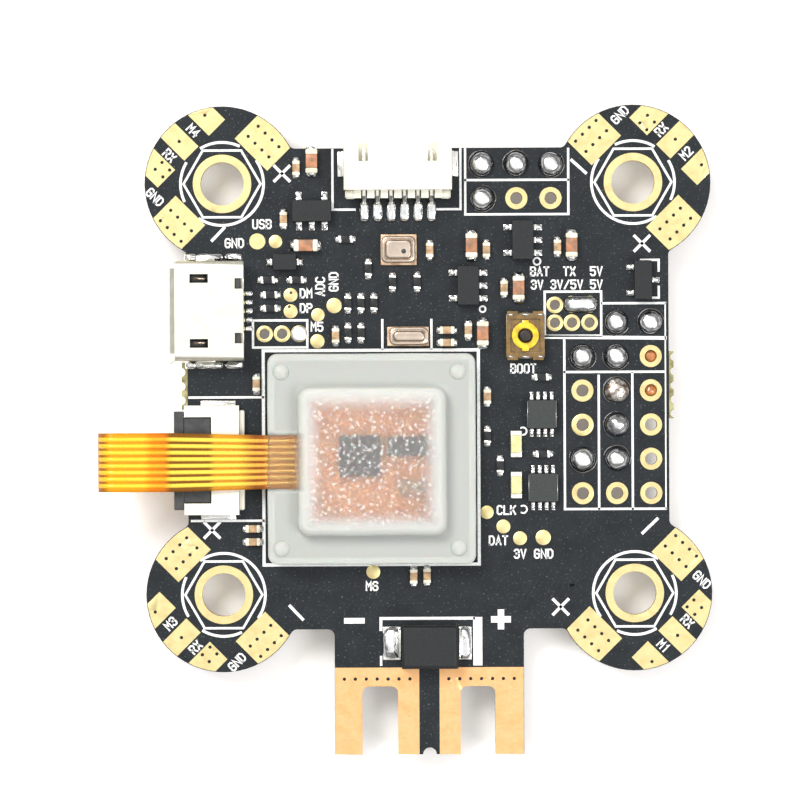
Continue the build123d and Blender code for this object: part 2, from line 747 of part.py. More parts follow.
# ---------------------------------------------------------------- lidded packages
barometer_spot = (-2.16, 10.3)
barometer_size = (2.68, 2.31, 0.25)
barometer_lid_spot = (-2.18, 10.32)
barometer_lid_size = (2.18, 1.64, 0.7)
barometer_port = (-1.79, 10.18, 0.13)
barometer_port_depth = 0.4
crystal_spot = (-1.5, 3.87)
crystal_size = (3.1, 1.45, 0.3)
crystal_lid_spot = (-1.42, 3.88)
crystal_lid_size = (2.55, 0.98, 0.45)
lid_corner_r = 0.25
barometer_lid_edge_r = 0.12
crystal_lid_edge_r = 0.1

with BuildPart() as barometer_substrate:
    with Locations((*barometer_spot, top)):
        Box(*barometer_size, align=on_top)
save(barometer_substrate, "barometer_substrate")

with BuildPart() as barometer_lid:
    with Locations((*barometer_lid_spot, top + barometer_size[2])):
        Box(*barometer_lid_size, align=on_top)
    fillet(barometer_lid.edges().filter_by(Axis.Z), lid_corner_r)
    fillet(barometer_lid.faces().sort_by(Axis.Z)[-1].edges(), barometer_lid_edge_r)
    port_x, port_y, port_r = barometer_port
    with Locations((port_x, port_y, top + barometer_size[2] + barometer_lid_size[2])):
        Hole(port_r, depth=barometer_port_depth)
save(barometer_lid, "barometer_lid")

with BuildPart() as crystal_base:
    with Locations((*crystal_spot, top)):
        Box(*crystal_size, align=on_top)
save(crystal_base, "crystal_base")

with BuildPart() as crystal_lid:
    with Locations((*crystal_lid_spot, top + crystal_size[2])):
        Box(*crystal_lid_size, align=on_top)
    fillet(crystal_lid.edges().filter_by(Axis.Z), lid_corner_r)
    fillet(crystal_lid.faces().sort_by(Axis.Z)[-1].edges(), crystal_lid_edge_r)
save(crystal_lid, "crystal_lid")

# ---------------------------------------------------------------- leaded packages
surge_spot = (0.03, -19.15)
surge_size = (4.2, 3.2, 2.1)
surge_lift = 0.12
surge_edge = 0.18
surge_terminal_y = -18.9
surge_feet = ((-1, 1.4), (1, 1.0))
surge_foot_w = 2.5
surge_foot_t = 0.2
surge_strap = (0.2, 2.1, 1.1)

with BuildPart() as surge_diode_body:
    with Locations((*surge_spot, top + surge_lift)):
        Box(*surge_size, align=on_top)
    chamfer(surge_diode_body.faces().sort_by(Axis.Z)[-1].edges(), surge_edge)
save(surge_diode_body, "surge_diode_body")

with BuildPart() as surge_diode_terminals:
    for side, reach in surge_feet:
        face_x = surge_spot[0] + side * surge_size[0] / 2
        with Locations((face_x + side * reach / 2, surge_terminal_y, top)):
            Box(reach, surge_foot_w, surge_foot_t, align=on_top)
        with Locations((face_x + side * surge_strap[0] / 2, surge_terminal_y, top)):
            Box(*surge_strap, align=on_top)
save(surge_diode_terminals, "surge_diode_terminals")

# three regulators on top, and under the board the one that makes the supply from the battery
regulators = ((-8.6, 13.2, 0), (2.98, 7.62, 90), (7.05, 10.98, 90))
supply_regulator = Location((-11.5, -4.6, 0), (180, 0, 0))
regulator_size = (2.9, 1.6, 1.05)
regulator_lift = 0.08
regulator_lead_x = 0.95
regulator_lead = gull_lead(0.62, 0.62, 0.42)
regulator_spots = [Location((x, y, top), (0, 0, angle)) for x, y, angle in regulators]
regulator_spots.append(supply_regulator)
with BuildPart() as regulator_bodies:
    with Locations(*regulator_spots):
        with Locations((0, 0, regulator_lift)):
            Box(*regulator_size, align=on_top)
save(regulator_bodies, "regulator_bodies")

with BuildPart() as regulator_leads:
    edge_y = regulator_size[1] / 2
    lead_spots = [Location((x, edge_y, 0), (0, 0, 90)) for x in (-regulator_lead_x, regulator_lead_x)]
    lead_spots += [Location((x, -edge_y, 0), (0, 0, -90)) for x in (-regulator_lead_x, 0, regulator_lead_x)]
    with Locations(*[spot * lead for spot in regulator_spots for lead in lead_spots]):
        add(regulator_lead)
save(regulator_leads, "regulator_leads")

transistor_spot = Location((15.95, 7.98, top), (0, 0, 90))
transistor_size = (2.9, 1.3, 0.95)
transistor_lead_x = 0.95
transistor_lead = gull_lead(0.6, 0.55, 0.42)
with BuildPart() as transistor_body:
    with Locations(transistor_spot * Location((0, 0, regulator_lift))):
        Box(*transistor_size, align=on_top)
save(transistor_body, "transistor_body")

with BuildPart() as transistor_leads:
    edge_y = transistor_size[1] / 2
    lead_spots = [Location((x, edge_y, 0), (0, 0, 90)) for x in (-transistor_lead_x, transistor_lead_x)]
    lead_spots.append(Location((0, -edge_y, 0), (0, 0, -90)))
    with Locations(*[transistor_spot * lead for lead in lead_spots]):
        add(transistor_lead)
save(transistor_leads, "transistor_leads")

shifters = ((8.4, -1.95), (8.48, -7.4))
shifter_size = (2.1, 2.1, 0.8)
shifter_lift = 0.07
shifter_side_leads = 4
shifter_pitch = 0.5
shifter_lead = gull_lead(0.62, 0.45, 0.26, 0.12, 0.4)
with BuildPart() as level_shifter_bodies:
    with Locations(*[(x, y, top + shifter_lift) for x, y in shifters]):
        Box(*shifter_size, align=on_top)
save(level_shifter_bodies, "level_shifter_bodies")

with BuildPart() as level_shifter_leads:
    lead_offsets = [shifter_pitch * (i - (shifter_side_leads - 1) / 2) for i in range(shifter_side_leads)]
    for x, y in shifters:
        for side in (-1, 1):
            edge_y = y + side * shifter_size[1] / 2
            with Locations(*[Location((x + dx, edge_y, top), (0, 0, side * 90)) for dx in lead_offsets]):
                add(shifter_lead)
save(level_shifter_leads, "level_shifter_leads")

signal_diode_spot = (-10.63, 9.42)
signal_diode_size = (1.75, 1.2, 0.85)
signal_diode_lead = gull_lead(0.5, 0.5, 0.5, 0.12, 0.3)
with BuildPart() as signal_diode_body:
    with Locations((*signal_diode_spot, top + regulator_lift)):
        Box(*signal_diode_size, align=on_top)
save(signal_diode_body, "signal_diode_body")

with BuildPart() as signal_diode_leads:
    diode_x, diode_y = signal_diode_spot
    for side, turn in ((-1, 180), (1, 0)):
        with Locations(Location((diode_x + side * signal_diode_size[0] / 2, diode_y, top), (0, 0, turn))):
            add(signal_diode_lead)
save(signal_diode_leads, "signal_diode_leads")

led_points = ((6.5, -4.15), (6.5, -7.2))
led_base_size = (0.85, 2.0, 0.25)
led_lens_size = (0.8, 1.3, 0.4)
with BuildPart() as led_bases:
    with Locations(*[(x, y, top) for x, y in led_points]):
        Box(*led_base_size, align=on_top)
save(led_bases, "led_bases")

with BuildPart() as led_lenses:
    with Locations(*[(x, y, top + led_base_size[2]) for x, y in led_points]):
        Box(*led_lens_size, align=on_top)
save(led_lenses, "led_lenses")

# ---------------------------------------------------------------- two-terminal chips: x, y, turn
large_capacitors = (
    (-8.6, 16.9, 90), (3.24, 10.6, 90), (10.67, 10.6, 90), (6.72, 7.43, 90), (4.05, 4.06, 90),
    (-9.05, 10.65, 0),
)
large_capacitor_size = (1.8, 0.88, 0.85, 0.4)
small_capacitors = (
    (-9.75, 16.4, 90), (-10.7, 12.6, 90), (0.14, 10.27, 90), (4.35, 10.27, 90), (9.62, 10.45, 90),
    (5.65, 7.43, 90), (2.98, 4.3, 90), (-6.87, 3.95, 90), (-12.77, 0.4, 90), (4.37, -0.63, 90),
    (-1.15, -13.95, 90), (-0.16, -13.9, 90), (1.4, 4.32, 0), (1.4, 3.4, 0), (-13.07, -10.36, 0),
    (-13.07, -11.33, 0),
)
small_capacitor_size = (1.1, 0.56, 0.5, 0.28)
resistors = (
    (-5.95, 6.35, 90), (-4.98, 6.35, 90), (-4.01, 6.35, 90), (-5.95, 4.15, 90), (-4.98, 4.15, 90),
    (-4.42, 8.9, 90), (-2.63, 7.9, 90), (-0.8, 7.9, 90), (4.37, -3.55, 90), (5.3, -5.75, 90),
    (-11.9, 8.1, 0), (-9.75, 8.1, 0), (-11.7, 7.0, 0), (-11.7, 6.0, 0), (-6.1, 11.1, 0),
    (8.4, 0.8, 0), (8.47, -4.9, 0),
)
resistor_size = (1.1, 0.55, 0.38, 0.25)
chip_groups("large_capacitor", large_capacitors, *large_capacitor_size)
chip_groups("small_capacitor", small_capacitors, *small_capacitor_size)
chip_groups("resistor", resistors, *resistor_size)

# ---------------------------------------------------------------- underside
mcu_spot = (1.0, 1.5)
mcu_size = 10.0
mcu_h = 1.4
mcu_gap = 0.1
mcu_edge = 0.12
mcu_side_leads = 16
mcu_pitch = 0.5
mcu_lead = gull_lead(1.0, 0.75, 0.22, 0.12, 0.5)
flash_spot = (9.0, -12.4, 0)
flash_size = (5.0, 6.0, 0.8)
inductor_spot = (-11.5, -10.5, 0)
inductor_size = (4.2, 4.2, 2.0)
inductor_corner_r = 0.6
shunt_spot = (0, -16.2, 0)
shunt_size = (6.4, 3.2, 0.7)

with BuildPart() as microcontroller_body:
    with Locations((*mcu_spot, -mcu_gap)):
        Box(mcu_size, mcu_size, mcu_h, align=under)
    chamfer(microcontroller_body.faces().sort_by(Axis.Z)[0].edges(), mcu_edge)
save(microcontroller_body, "microcontroller_body")

with BuildPart() as microcontroller_leads:
    lead_offsets = [mcu_pitch * (i - (mcu_side_leads - 1) / 2) for i in range(mcu_side_leads)]
    for side in range(4):
        side_frame = Location((*mcu_spot, 0), (180, 0, 90 * side))
        with Locations(*[side_frame * Location((mcu_size / 2, dy, 0)) for dy in lead_offsets]):
            add(mcu_lead)
save(microcontroller_leads, "microcontroller_leads")

with BuildPart() as flash_memory_chip:
    with Locations(flash_spot):
        Box(*flash_size, align=under)
save(flash_memory_chip, "flash_memory_chip")

with BuildPart() as power_inductor:
    with Locations(inductor_spot):
        Box(*inductor_size, align=under)
    fillet(power_inductor.edges().filter_by(Axis.Z), inductor_corner_r)
save(power_inductor, "power_inductor")

with BuildPart() as current_shunt:
    with Locations(shunt_spot):
        Box(*shunt_size, align=under)
save(current_shunt, "current_shunt")
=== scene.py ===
"""Looks of the flight controller board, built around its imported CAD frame.

Everything is in metres in the frame of the CAD model: the origin is the centre of the four mounting
holes on the underside of the board, +X right, +Y towards the serial socket, +Z out of the component
side. Sizes and places that are written as plain numbers are in millimetres, and MM turns them into metres.
"""

import json
import math
import random

import bmesh
import bpy
from mathutils import Matrix, Vector, noise


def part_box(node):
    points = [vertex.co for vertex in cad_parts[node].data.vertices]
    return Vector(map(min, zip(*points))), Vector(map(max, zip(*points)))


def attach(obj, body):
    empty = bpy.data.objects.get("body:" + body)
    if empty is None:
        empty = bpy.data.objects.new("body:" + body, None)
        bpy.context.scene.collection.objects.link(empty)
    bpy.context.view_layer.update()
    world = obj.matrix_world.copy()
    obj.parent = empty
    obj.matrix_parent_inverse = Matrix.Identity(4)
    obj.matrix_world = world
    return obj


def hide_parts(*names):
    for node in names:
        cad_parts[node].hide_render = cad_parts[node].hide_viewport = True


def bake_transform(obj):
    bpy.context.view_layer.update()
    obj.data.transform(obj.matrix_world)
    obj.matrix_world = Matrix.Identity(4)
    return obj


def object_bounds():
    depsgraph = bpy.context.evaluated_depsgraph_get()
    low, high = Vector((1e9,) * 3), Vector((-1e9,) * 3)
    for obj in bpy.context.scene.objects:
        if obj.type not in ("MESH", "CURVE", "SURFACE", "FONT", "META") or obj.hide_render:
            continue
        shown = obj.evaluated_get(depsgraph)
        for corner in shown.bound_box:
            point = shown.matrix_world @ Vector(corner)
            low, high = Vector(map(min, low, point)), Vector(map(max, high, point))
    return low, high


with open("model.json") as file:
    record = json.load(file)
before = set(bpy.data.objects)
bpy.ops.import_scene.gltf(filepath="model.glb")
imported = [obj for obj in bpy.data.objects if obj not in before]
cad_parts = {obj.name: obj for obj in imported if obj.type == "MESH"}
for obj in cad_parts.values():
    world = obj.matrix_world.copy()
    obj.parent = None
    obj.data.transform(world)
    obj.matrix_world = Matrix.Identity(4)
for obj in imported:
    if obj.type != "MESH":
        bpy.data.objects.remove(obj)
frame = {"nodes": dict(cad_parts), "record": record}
cad_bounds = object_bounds()
record = frame["record"]
node_body = {node: body for body, nodes in record["behaviour"]["bodies"].items() for node in nodes}
node_slot = {part["node"]: part["material_slot"] for part in record["subparts"]}

MM = 0.001
BOARD_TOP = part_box("circuit_board")[1].z
# top of the plated rings, where solder starts
PLATING_TOP = BOARD_TOP + 0.04 * MM
# half the width of the board without the stubs of its break-off tabs
TAB_LINE = 17.87 * MM
# middle of the raised part of the silicone cover, half its size, and the middle line of the ribbon
DOME_X, DOME_Y = -4.17, -5.37
DOME_HALF = 5.5
RIBBON_Y = -5.4
rng = random.Random(11)


# ---------------------------------------------------------------- node materials
def set_ramp(node, stops):
    """Give a colour ramp its stops, each a position and a colour."""
    elements = node.color_ramp.elements
    while len(elements) < len(stops):
        elements.new(0.5)
    for element, (position, color) in zip(elements, stops):
        element.position = position
        element.color = (*color, 1)
    return node.outputs["Color"]


class Shader:
    """A node material around one Principled shader, with short calls for the usual nodes."""

    def __init__(self, name, **sockets):
        self.material = bpy.data.materials.new(name)
        self.material.use_nodes = True
        self.tree = self.material.node_tree
        self.bsdf = self.tree.nodes["Principled BSDF"]
        self.place = self.add("ShaderNodeTexCoord").outputs["Object"]
        for socket, value in sockets.items():
            self.bsdf.inputs[socket.replace("_", " ")].default_value = value
        self.normal = None

    def add(self, kind, inputs=None, **properties):
        node = self.tree.nodes.new(kind)
        for key, value in properties.items():
            setattr(node, key, value)
        for key, value in (inputs or {}).items():
            if isinstance(value, bpy.types.NodeSocket):
                self.tree.links.new(value, node.inputs[key])
            else:
                node.inputs[key].default_value = value
        return node

    def noise(self, grain, detail=3.0, stretch=None):
        place = self.place
        if stretch:
            place = self.add("ShaderNodeMapping", {"Vector": place, "Scale": stretch}).outputs[0]
        inputs = {"Vector": place, "Scale": 1 / (grain * MM), "Detail": detail}
        return self.add("ShaderNodeTexNoise", inputs).outputs["Fac"]

    def cells(self, grain):
        inputs = {"Vector": self.place, "Scale": 1 / (grain * MM)}
        return self.add("ShaderNodeTexVoronoi", inputs).outputs["Distance"]

    def math(self, operation, *values):
        return self.add("ShaderNodeMath", dict(enumerate(values)), operation=operation).outputs[0]

    def axis(self, vector, name):
        return self.add("ShaderNodeSeparateXYZ", {"Vector": vector}).outputs[name]

    def remap(self, value, start, end, low=0.0, high=1.0, **properties):
        inputs = {"Value": value, "From Min": start, "From Max": end, "To Min": low, "To Max": high}
        return self.add("ShaderNodeMapRange", inputs, **properties).outputs[0]

    def ramp(self, factor, stops):
        return set_ramp(self.add("ShaderNodeValToRGB", {"Fac": factor}), stops)

    def link(self, socket, name):
        self.tree.links.new(socket, self.bsdf.inputs[name])

    def rough(self, factor, low, high):
        self.link(self.remap(factor, 0.25, 0.75, low, high), "Roughness")

    def bump(self, factor, depth):
        inputs = {"Height": factor, "Distance": depth * MM}
        if self.normal:
            inputs["Normal"] = self.normal
        self.normal = self.add("ShaderNodeBump", inputs).outputs[0]
        self.link(self.normal, "Normal")

    def dress(self, color, sheen, *relief):
        """Link the colour, the roughness and the relief, and give the finished material.

        sheen: grain and detail, then the lowest and highest roughness; relief: grain, detail and depth.
        """
        self.link(color, "Base Color")
        grain, detail, low, high = sheen
        self.rough(self.noise(grain, detail), low, high)
        for grain, detail, depth in relief:
            self.bump(self.noise(grain, detail), depth)
        return self.material


def finish(name, mottle, stops, sheen, *relief, **sockets):
    """A material whose colour follows one noise, of the grain and detail given in mottle."""
    s = Shader(name, **sockets)
    return s.dress(s.ramp(s.noise(*mottle), stops), sheen, *relief)


def shade(color, share):
    return tuple(c * share for c in color)


def make_mask():
    s = Shader("solder_mask", Specular_IOR_Level=0.27)
    patches = s.ramp(s.noise(1.6, 4), ((0.3, (0.0055, 0.008, 0.0105)), (0.7, (0.0115, 0.016, 0.0195))))
    flecks = s.ramp(s.noise(0.16, 2), ((0.64, (0, 0, 0)), (0.72, (0.075, 0.085, 0.09))))
    both = s.add("ShaderNodeMix", {"A": patches, "B": flecks}, data_type="RGBA", blend_type="ADD")
    both.inputs["Factor"].default_value = 1
    return s.dress(both.outputs["Result"], (0.5, 3, 0.32, 0.46), (0.3, 4, 0.006), (2.2, 2, 0.015))


def make_laminate():
    s = Shader("glass_epoxy_edge")
    layers = s.noise(0.12, 3, (0.2, 0.2, 1.6))
    color = s.ramp(layers, ((0.35, (0.17, 0.145, 0.055)), (0.65, (0.44, 0.40, 0.19))))
    return s.dress(color, (0.3, 3, 0.55, 0.85), (0.08, 3, 0.02))


def make_gold(name, light, dark):
    return finish(name, (0.9, 5), ((0.32, dark), (0.58, light)), (0.2, 4, 0.34, 0.52),
                  (0.05, 3, 0.0016), (0.5, 3, 0.003), Metallic=1.0)


def make_joint_solder():
    """Painted reflection: the colour follows how upright the surface faces, bright on top and dark on the
    steep sides.
    """
    s = Shader("joint_solder", Metallic=1.0)
    upright = s.axis(s.add("ShaderNodeNewGeometry").outputs["Normal"], "Z")
    slope = s.math("ADD", upright, s.math("MULTIPLY_ADD", s.noise(0.55, 3), 0.55, -0.27))
    # painted reflection and shade: bands from the dark steep sides up to the bright top
    tint_with_painted_light = ((0.30, (0.10, 0.10, 0.11)), (0.52, (0.50, 0.50, 0.51)), (0.60, (0.07, 0.07, 0.08)),
            (0.74, (0.22, 0.22, 0.23)), (0.84, (0.95, 0.95, 0.94)))
    return s.dress(s.ramp(slope, tint_with_painted_light), (0.4, 3, 0.10, 0.24), (0.7, 2, 0.06))


def make_steel(name, color, rough):
    """Sheet metal, drawn out in one direction and lightly scratched."""
    s = Shader(name, Metallic=1.0)
    s.link(s.ramp(s.noise(0.9, 4), ((0.3, shade(color, 0.86)), (0.7, color))), "Base Color")
    s.rough(s.noise(0.05, 3, (1, 0.06, 1)), rough * 0.85, rough * 1.25)
    scratches = s.add("ShaderNodeTexNoise", {"Vector": s.place, "Scale": 900, "Detail": 6, "Distortion": 3})
    s.bump(s.noise(0.04, 2, (1, 0.05, 1)), 0.0012)
    s.bump(scratches.outputs["Fac"], 0.003)
    return s.material


def make_plastic(name, dark, light, low, high):
    return finish(name, (0.7, 4), ((0.3, dark), (0.7, light)), (0.2, 3, low, high),
                  (0.05, 3, 0.004), (0.5, 3, 0.006))


def make_epoxy(name, dark, light):
    return finish(name, (0.06, 2), ((0.35, dark), (0.7, light)), (0.1, 3, 0.42, 0.62), (0.03, 3, 0.004),
                  Specular_IOR_Level=0.35)


def make_ceramic(name, dark, light):
    return finish(name, (0.45, 4), ((0.36, dark), (0.62, light)), (0.2, 3, 0.3, 0.55), (0.04, 3, 0.004))


def make_resin(name, color, dark=0.72, **sockets):
    return finish(name, (0.45, 3), ((0.32, shade(color, dark)), (0.62, color)), (0.2, 3, 0.15, 0.32),
                  (0.25, 2, 0.006), **sockets)


def make_ribbon_layer(name, tint_with_painted_light, sheen, relief, **sockets):
    """Coloured by the place along X, with shade painted in: 0 is the ribbon's loop, 1 is where it goes under
    the cover.
    """
    s = Shader(name, **sockets)
    along = s.remap(s.axis(s.place, "X"), -24.5 * MM, -9 * MM)
    return s.dress(s.ramp(along, tint_with_painted_light), sheen, relief)


def make_silicone():
    """Clear and frosted over the sensor, milkier at the raised middle's rim and in the flange."""
    s = Shader("milky_silicone", IOR=1.2, Subsurface_Weight=0.15, Subsurface_Scale=0.0005)
    offset = s.add("ShaderNodeVectorMath", {0: s.place, 1: (-DOME_X * MM, -DOME_Y * MM, 0)}, operation="ADD")
    reach = s.add("ShaderNodeVectorMath", {0: offset.outputs[0]}, operation="ABSOLUTE").outputs[0]
    # distance from the middle of the raised part, measured square
    far = s.math("MAXIMUM", s.axis(reach, "X"), s.axis(reach, "Y"))
    unfrosted = s.remap(far, (DOME_HALF - 1.1) * MM, (DOME_HALF - 0.3) * MM)
    grains = s.remap(s.cells(0.4), 0.17, 0.38, 0.46, 0.885)
    clear = s.add("ShaderNodeMix", {"Factor": unfrosted, "A": grains, "B": 0.84}).outputs[0]
    rim = s.remap(far, (DOME_HALF - 2) * MM, (DOME_HALF - 0.4) * MM, 0.985, 0.50,
                  interpolation_type="SMOOTHSTEP")
    flange = s.remap(far, (DOME_HALF - 0.05) * MM, (DOME_HALF + 0.2) * MM, 1.0, 1.15)
    clear = s.math("MULTIPLY", s.math("MULTIPLY", clear, rim), flange)
    # thinner and clearer where it bridges the ribbon
    aside = s.math("ABSOLUTE", s.math("ADD", s.axis(s.place, "Y"), -RIBBON_Y * MM))
    across = s.remap(aside, 1.95 * MM, 2.3 * MM, 0.48, 0.0)
    along = s.remap(s.axis(s.place, "X"), -9.9 * MM, -9.0 * MM, 1.0, 0.0)
    bridge = s.math("MULTIPLY", across, along)
    s.link(s.math("ADD", clear, bridge), "Transmission Weight")
    milky = s.math("SUBTRACT", unfrosted, bridge)
    color = s.ramp(milky, ((0.1, (0.83, 0.81, 0.79)), (0.9, (0.79, 0.81, 0.765))))
    return s.dress(color, (0.3, 4, 0.3, 0.42), (0.22, 2, 0.003), (1.8, 3, 0.012))


def make_foam():
    s = Shader("soft_foam")
    pores = s.cells(0.16)
    s.bump(pores, 0.03)
    # the pits of the cells are painted darker: painted shade in the pores
    return s.dress(s.ramp(pores, ((0.1, (0.58, 0.60, 0.57)), (0.5, (0.80, 0.82, 0.79)))), (0.4, 3, 0.8, 1.0))


MASK = make_mask()
LAMINATE = make_laminate()
GOLD = make_gold("immersion_gold", (0.67, 0.565, 0.285), (0.60, 0.49, 0.235))
WARM_GOLD = make_gold("handled_gold", (0.78, 0.45, 0.215), (0.73, 0.40, 0.17))
PINK_GOLD = make_gold("package_rim", (0.72, 0.52, 0.36), (0.36, 0.22, 0.13))
SOLDER = finish("solder", (0.5, 3), ((0.3, (0.74, 0.74, 0.75)), (0.6, (0.93, 0.93, 0.92))),
                (0.4, 3, 0.08, 0.2), (0.7, 2, 0.07), (0.25, 3, 0.008), Metallic=1.0)
JOINT_SOLDER = make_joint_solder()
FLAT_SOLDER = finish("levelled_solder", (0.5, 3), ((0.3, (0.86, 0.86, 0.86)), (0.6, (0.97, 0.97, 0.96))),
                     (0.3, 3, 0.28, 0.42), (0.4, 3, 0.004), Metallic=1.0)
BURNT_SOLDER = finish("overheated_solder", (0.35, 4), ((0.35, (0.20, 0.13, 0.09)), (0.6, (0.72, 0.69, 0.66))),
                      (0.2, 3, 0.15, 0.5), (0.25, 4, 0.05), Metallic=1.0)
FLUX = finish("flux_residue", (0.5, 3), ((0.4, (0.012, 0.013, 0.014)), (0.7, (0.07, 0.06, 0.045))),
              (0.3, 3, 0.05, 0.2), (0.3, 3, 0.03), Specular_IOR_Level=0.9, Coat_Weight=0.6)
COPPER_FLUX = make_resin("copper_flux", (0.55, 0.20, 0.07), 0.5, Coat_Weight=0.6)
TIN = finish("tinned_terminal", (0.35, 3), ((0.3, (0.84, 0.82, 0.76)), (0.7, (0.96, 0.95, 0.91))),
             (0.15, 3, 0.2, 0.42), (0.16, 3, 0.006), Metallic=1.0)
SHELL = make_steel("shell_steel", (0.71, 0.69, 0.60), 0.44)
LID = make_steel("lid_steel", (0.54, 0.45, 0.37), 0.34)
SHUNT = make_steel("shunt_metal", (0.22, 0.22, 0.23), 0.45)
CREAM = make_plastic("cream_moulding", (0.80, 0.76, 0.62), (0.88, 0.86, 0.77), 0.4, 0.6)
BLACK = make_plastic("black_moulding", (0.018, 0.018, 0.019), (0.045, 0.045, 0.046), 0.38, 0.58)
EPOXY = make_epoxy("chip_epoxy", (0.006, 0.007, 0.008), (0.016, 0.018, 0.019))
GREY_EPOXY = make_epoxy("grey_chip_epoxy", (0.018, 0.022, 0.021), (0.050, 0.058, 0.055))
ORANGE_CERAMIC = make_ceramic("orange_ceramic", (0.25, 0.135, 0.075), (0.50, 0.21, 0.10))
TAN_CERAMIC = make_ceramic("tan_ceramic", (0.30, 0.19, 0.10), (0.56, 0.36, 0.19))
WHITE_CERAMIC = make_ceramic("white_ceramic", (0.66, 0.60, 0.46), (0.84, 0.80, 0.68))
FERRITE = make_ceramic("ferrite", (0.035, 0.035, 0.038), (0.075, 0.075, 0.08))
INK = finish("legend_ink", (0.12, 4), ((0.25, (0.66, 0.67, 0.67)), (0.55, (0.88, 0.88, 0.86))),
             (0.1, 3, 0.5, 0.7), (0.08, 3, 0.006))
# the loop, darkened as painted shade where it bends down, a yellow stretch, an orange band of painted shade
# on the bend, the stretch over the lock, the one beyond it, a painted shadow at the cover's edge and the part
# under the cover
FILM = make_ribbon_layer("polyimide_film", (
    (0.0, (0.50, 0.17, 0.01)), (0.03, (0.62, 0.22, 0.01)), (0.06, (0.98, 0.50, 0.015)),
    (0.22, (0.98, 0.46, 0.012)), (0.25, (0.95, 0.33, 0.006)), (0.32, (0.85, 0.26, 0.006)),
    (0.35, (0.34, 0.13, 0.012)), (0.53, (0.38, 0.15, 0.014)), (0.56, (0.90, 0.44, 0.03)),
    (0.68, (0.88, 0.40, 0.03)), (0.75, (0.42, 0.13, 0.02)), (0.79, (0.42, 0.13, 0.02)),
    (0.82, (0.98, 0.42, 0.09)), (1.0, (0.98, 0.42, 0.09)),
), (0.6, 3, 0.14, 0.28), (0.8, 2, 0.006), Transmission_Weight=0.5, IOR=1.3)
# the tracks carry the same painted shade at the loop, on the bend and at the cover's edge
TRACK = make_ribbon_layer("copper_track", (
    (0.0, (0.75, 0.33, 0.02)), (0.04, (0.95, 0.62, 0.03)), (0.22, (0.98, 0.66, 0.035)),
    (0.26, (0.95, 0.43, 0.012)), (0.32, (0.90, 0.38, 0.012)), (0.36, (0.95, 0.66, 0.06)),
    (0.66, (0.98, 0.72, 0.08)), (0.74, (0.85, 0.42, 0.05)), (0.79, (0.85, 0.36, 0.05)),
    (0.82, (1.0, 0.56, 0.14)), (1.0, (1.0, 0.56, 0.14)),
), (0.4, 3, 0.2, 0.36), (0.5, 2, 0.004), Metallic=0.2)
SILICONE = make_silicone()
FOAM = make_foam()
SENSOR_BOARD = finish("sensor_board", (0.8, 4), ((0.35, (0.86, 0.30, 0.09)), (0.65, (1.0, 0.46, 0.17))),
                      (0.3, 3, 0.25, 0.5), (0.3, 3, 0.006))
LED_RESIN = make_resin("led_resin", (0.95, 0.86, 0.40), Transmission_Weight=0.15)
BUTTON_FILM = make_resin("button_film", (0.22, 0.125, 0.03), 0.55, Coat_Weight=0.5)
BUTTON_RING = make_resin("button_ring", (0.93, 0.62, 0.015), 0.62, Coat_Weight=0.5)
BUTTON_BASE = make_plastic("button_base", (0.10, 0.07, 0.02), (0.22, 0.17, 0.07), 0.35, 0.6)
PLUNGER = make_plastic("plunger", (0.008, 0.005, 0.004), (0.03, 0.017, 0.010), 0.3, 0.5)
TABLE = finish("pale_table", (18, 3), ((0.3, (0.93, 0.915, 0.905)), (0.7, (0.95, 0.94, 0.935))),
               (3, 3, 0.6, 0.75), Emission_Color=(1.0, 0.90, 0.84, 1), Emission_Strength=0.19)


# ---------------------------------------------------------------- mesh helpers
def place(obj, body, slot, *nodes):
    """Give a finished piece its body, and hide the CAD nodes that it stands for."""
    if nodes:
        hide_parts(*nodes)
    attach(obj, body)


def piece(name, bm, *materials):
    """Turn a bmesh into an object with smooth shading."""
    bmesh.ops.recalc_face_normals(bm, faces=bm.faces)
    mesh = bpy.data.meshes.new(name)
    bm.to_mesh(mesh)
    bm.free()
    for material in materials:
        mesh.materials.append(material)
    mesh.shade_smooth()
    obj = bpy.data.objects.new(name, mesh)
    bpy.context.collection.objects.link(obj)
    return obj


def on_board(name, bm, material, slot, *nodes):
    """A piece of one material that is fixed to the board."""
    obj = piece(name, bm, material)
    place(obj, "board", slot, *nodes)
    return obj


def finish_mesh(obj, bevel=0.0):
    """Round the sharp edges, keep the flats flat, and make the result the object's own mesh."""
    if bevel:
        rounding = obj.modifiers.new("round", "BEVEL")
        rounding.width = bevel * MM
        rounding.segments = 2
        rounding.limit_method = "ANGLE"
        rounding.angle_limit = math.radians(32)
    weigh = obj.modifiers.new("flats", "WEIGHTED_NORMAL")
    weigh.weight = 100
    weigh.keep_sharp = True
    graph = bpy.context.evaluated_depsgraph_get()
    graph.update()
    mesh = bpy.data.meshes.new_from_object(obj.evaluated_get(graph))
    obj.modifiers.clear()
    obj.data = mesh
    return obj


def welded(node):
    """The mesh of a CAD node as a bmesh, with its doubled corners joined."""
    bm = bmesh.new()
    bm.from_mesh(frame["nodes"][node].data)
    bmesh.ops.remove_doubles(bm, verts=bm.verts, dist=1e-7)
    return bm


def with_flats(node):
    """The same, with the triangles of each flat face made one face."""
    bm = welded(node)
    bmesh.ops.dissolve_limit(bm, angle_limit=math.radians(0.5), verts=bm.verts, edges=bm.edges)
    return bm


def detailed(node, material, bevel):
    """A finished copy of a CAD node with its edges rounded as the real piece's are."""
    obj = finish_mesh(piece(f"{node}_finished", with_flats(node), material), bevel)
    place(obj, node_body[node], node_slot[node], node)


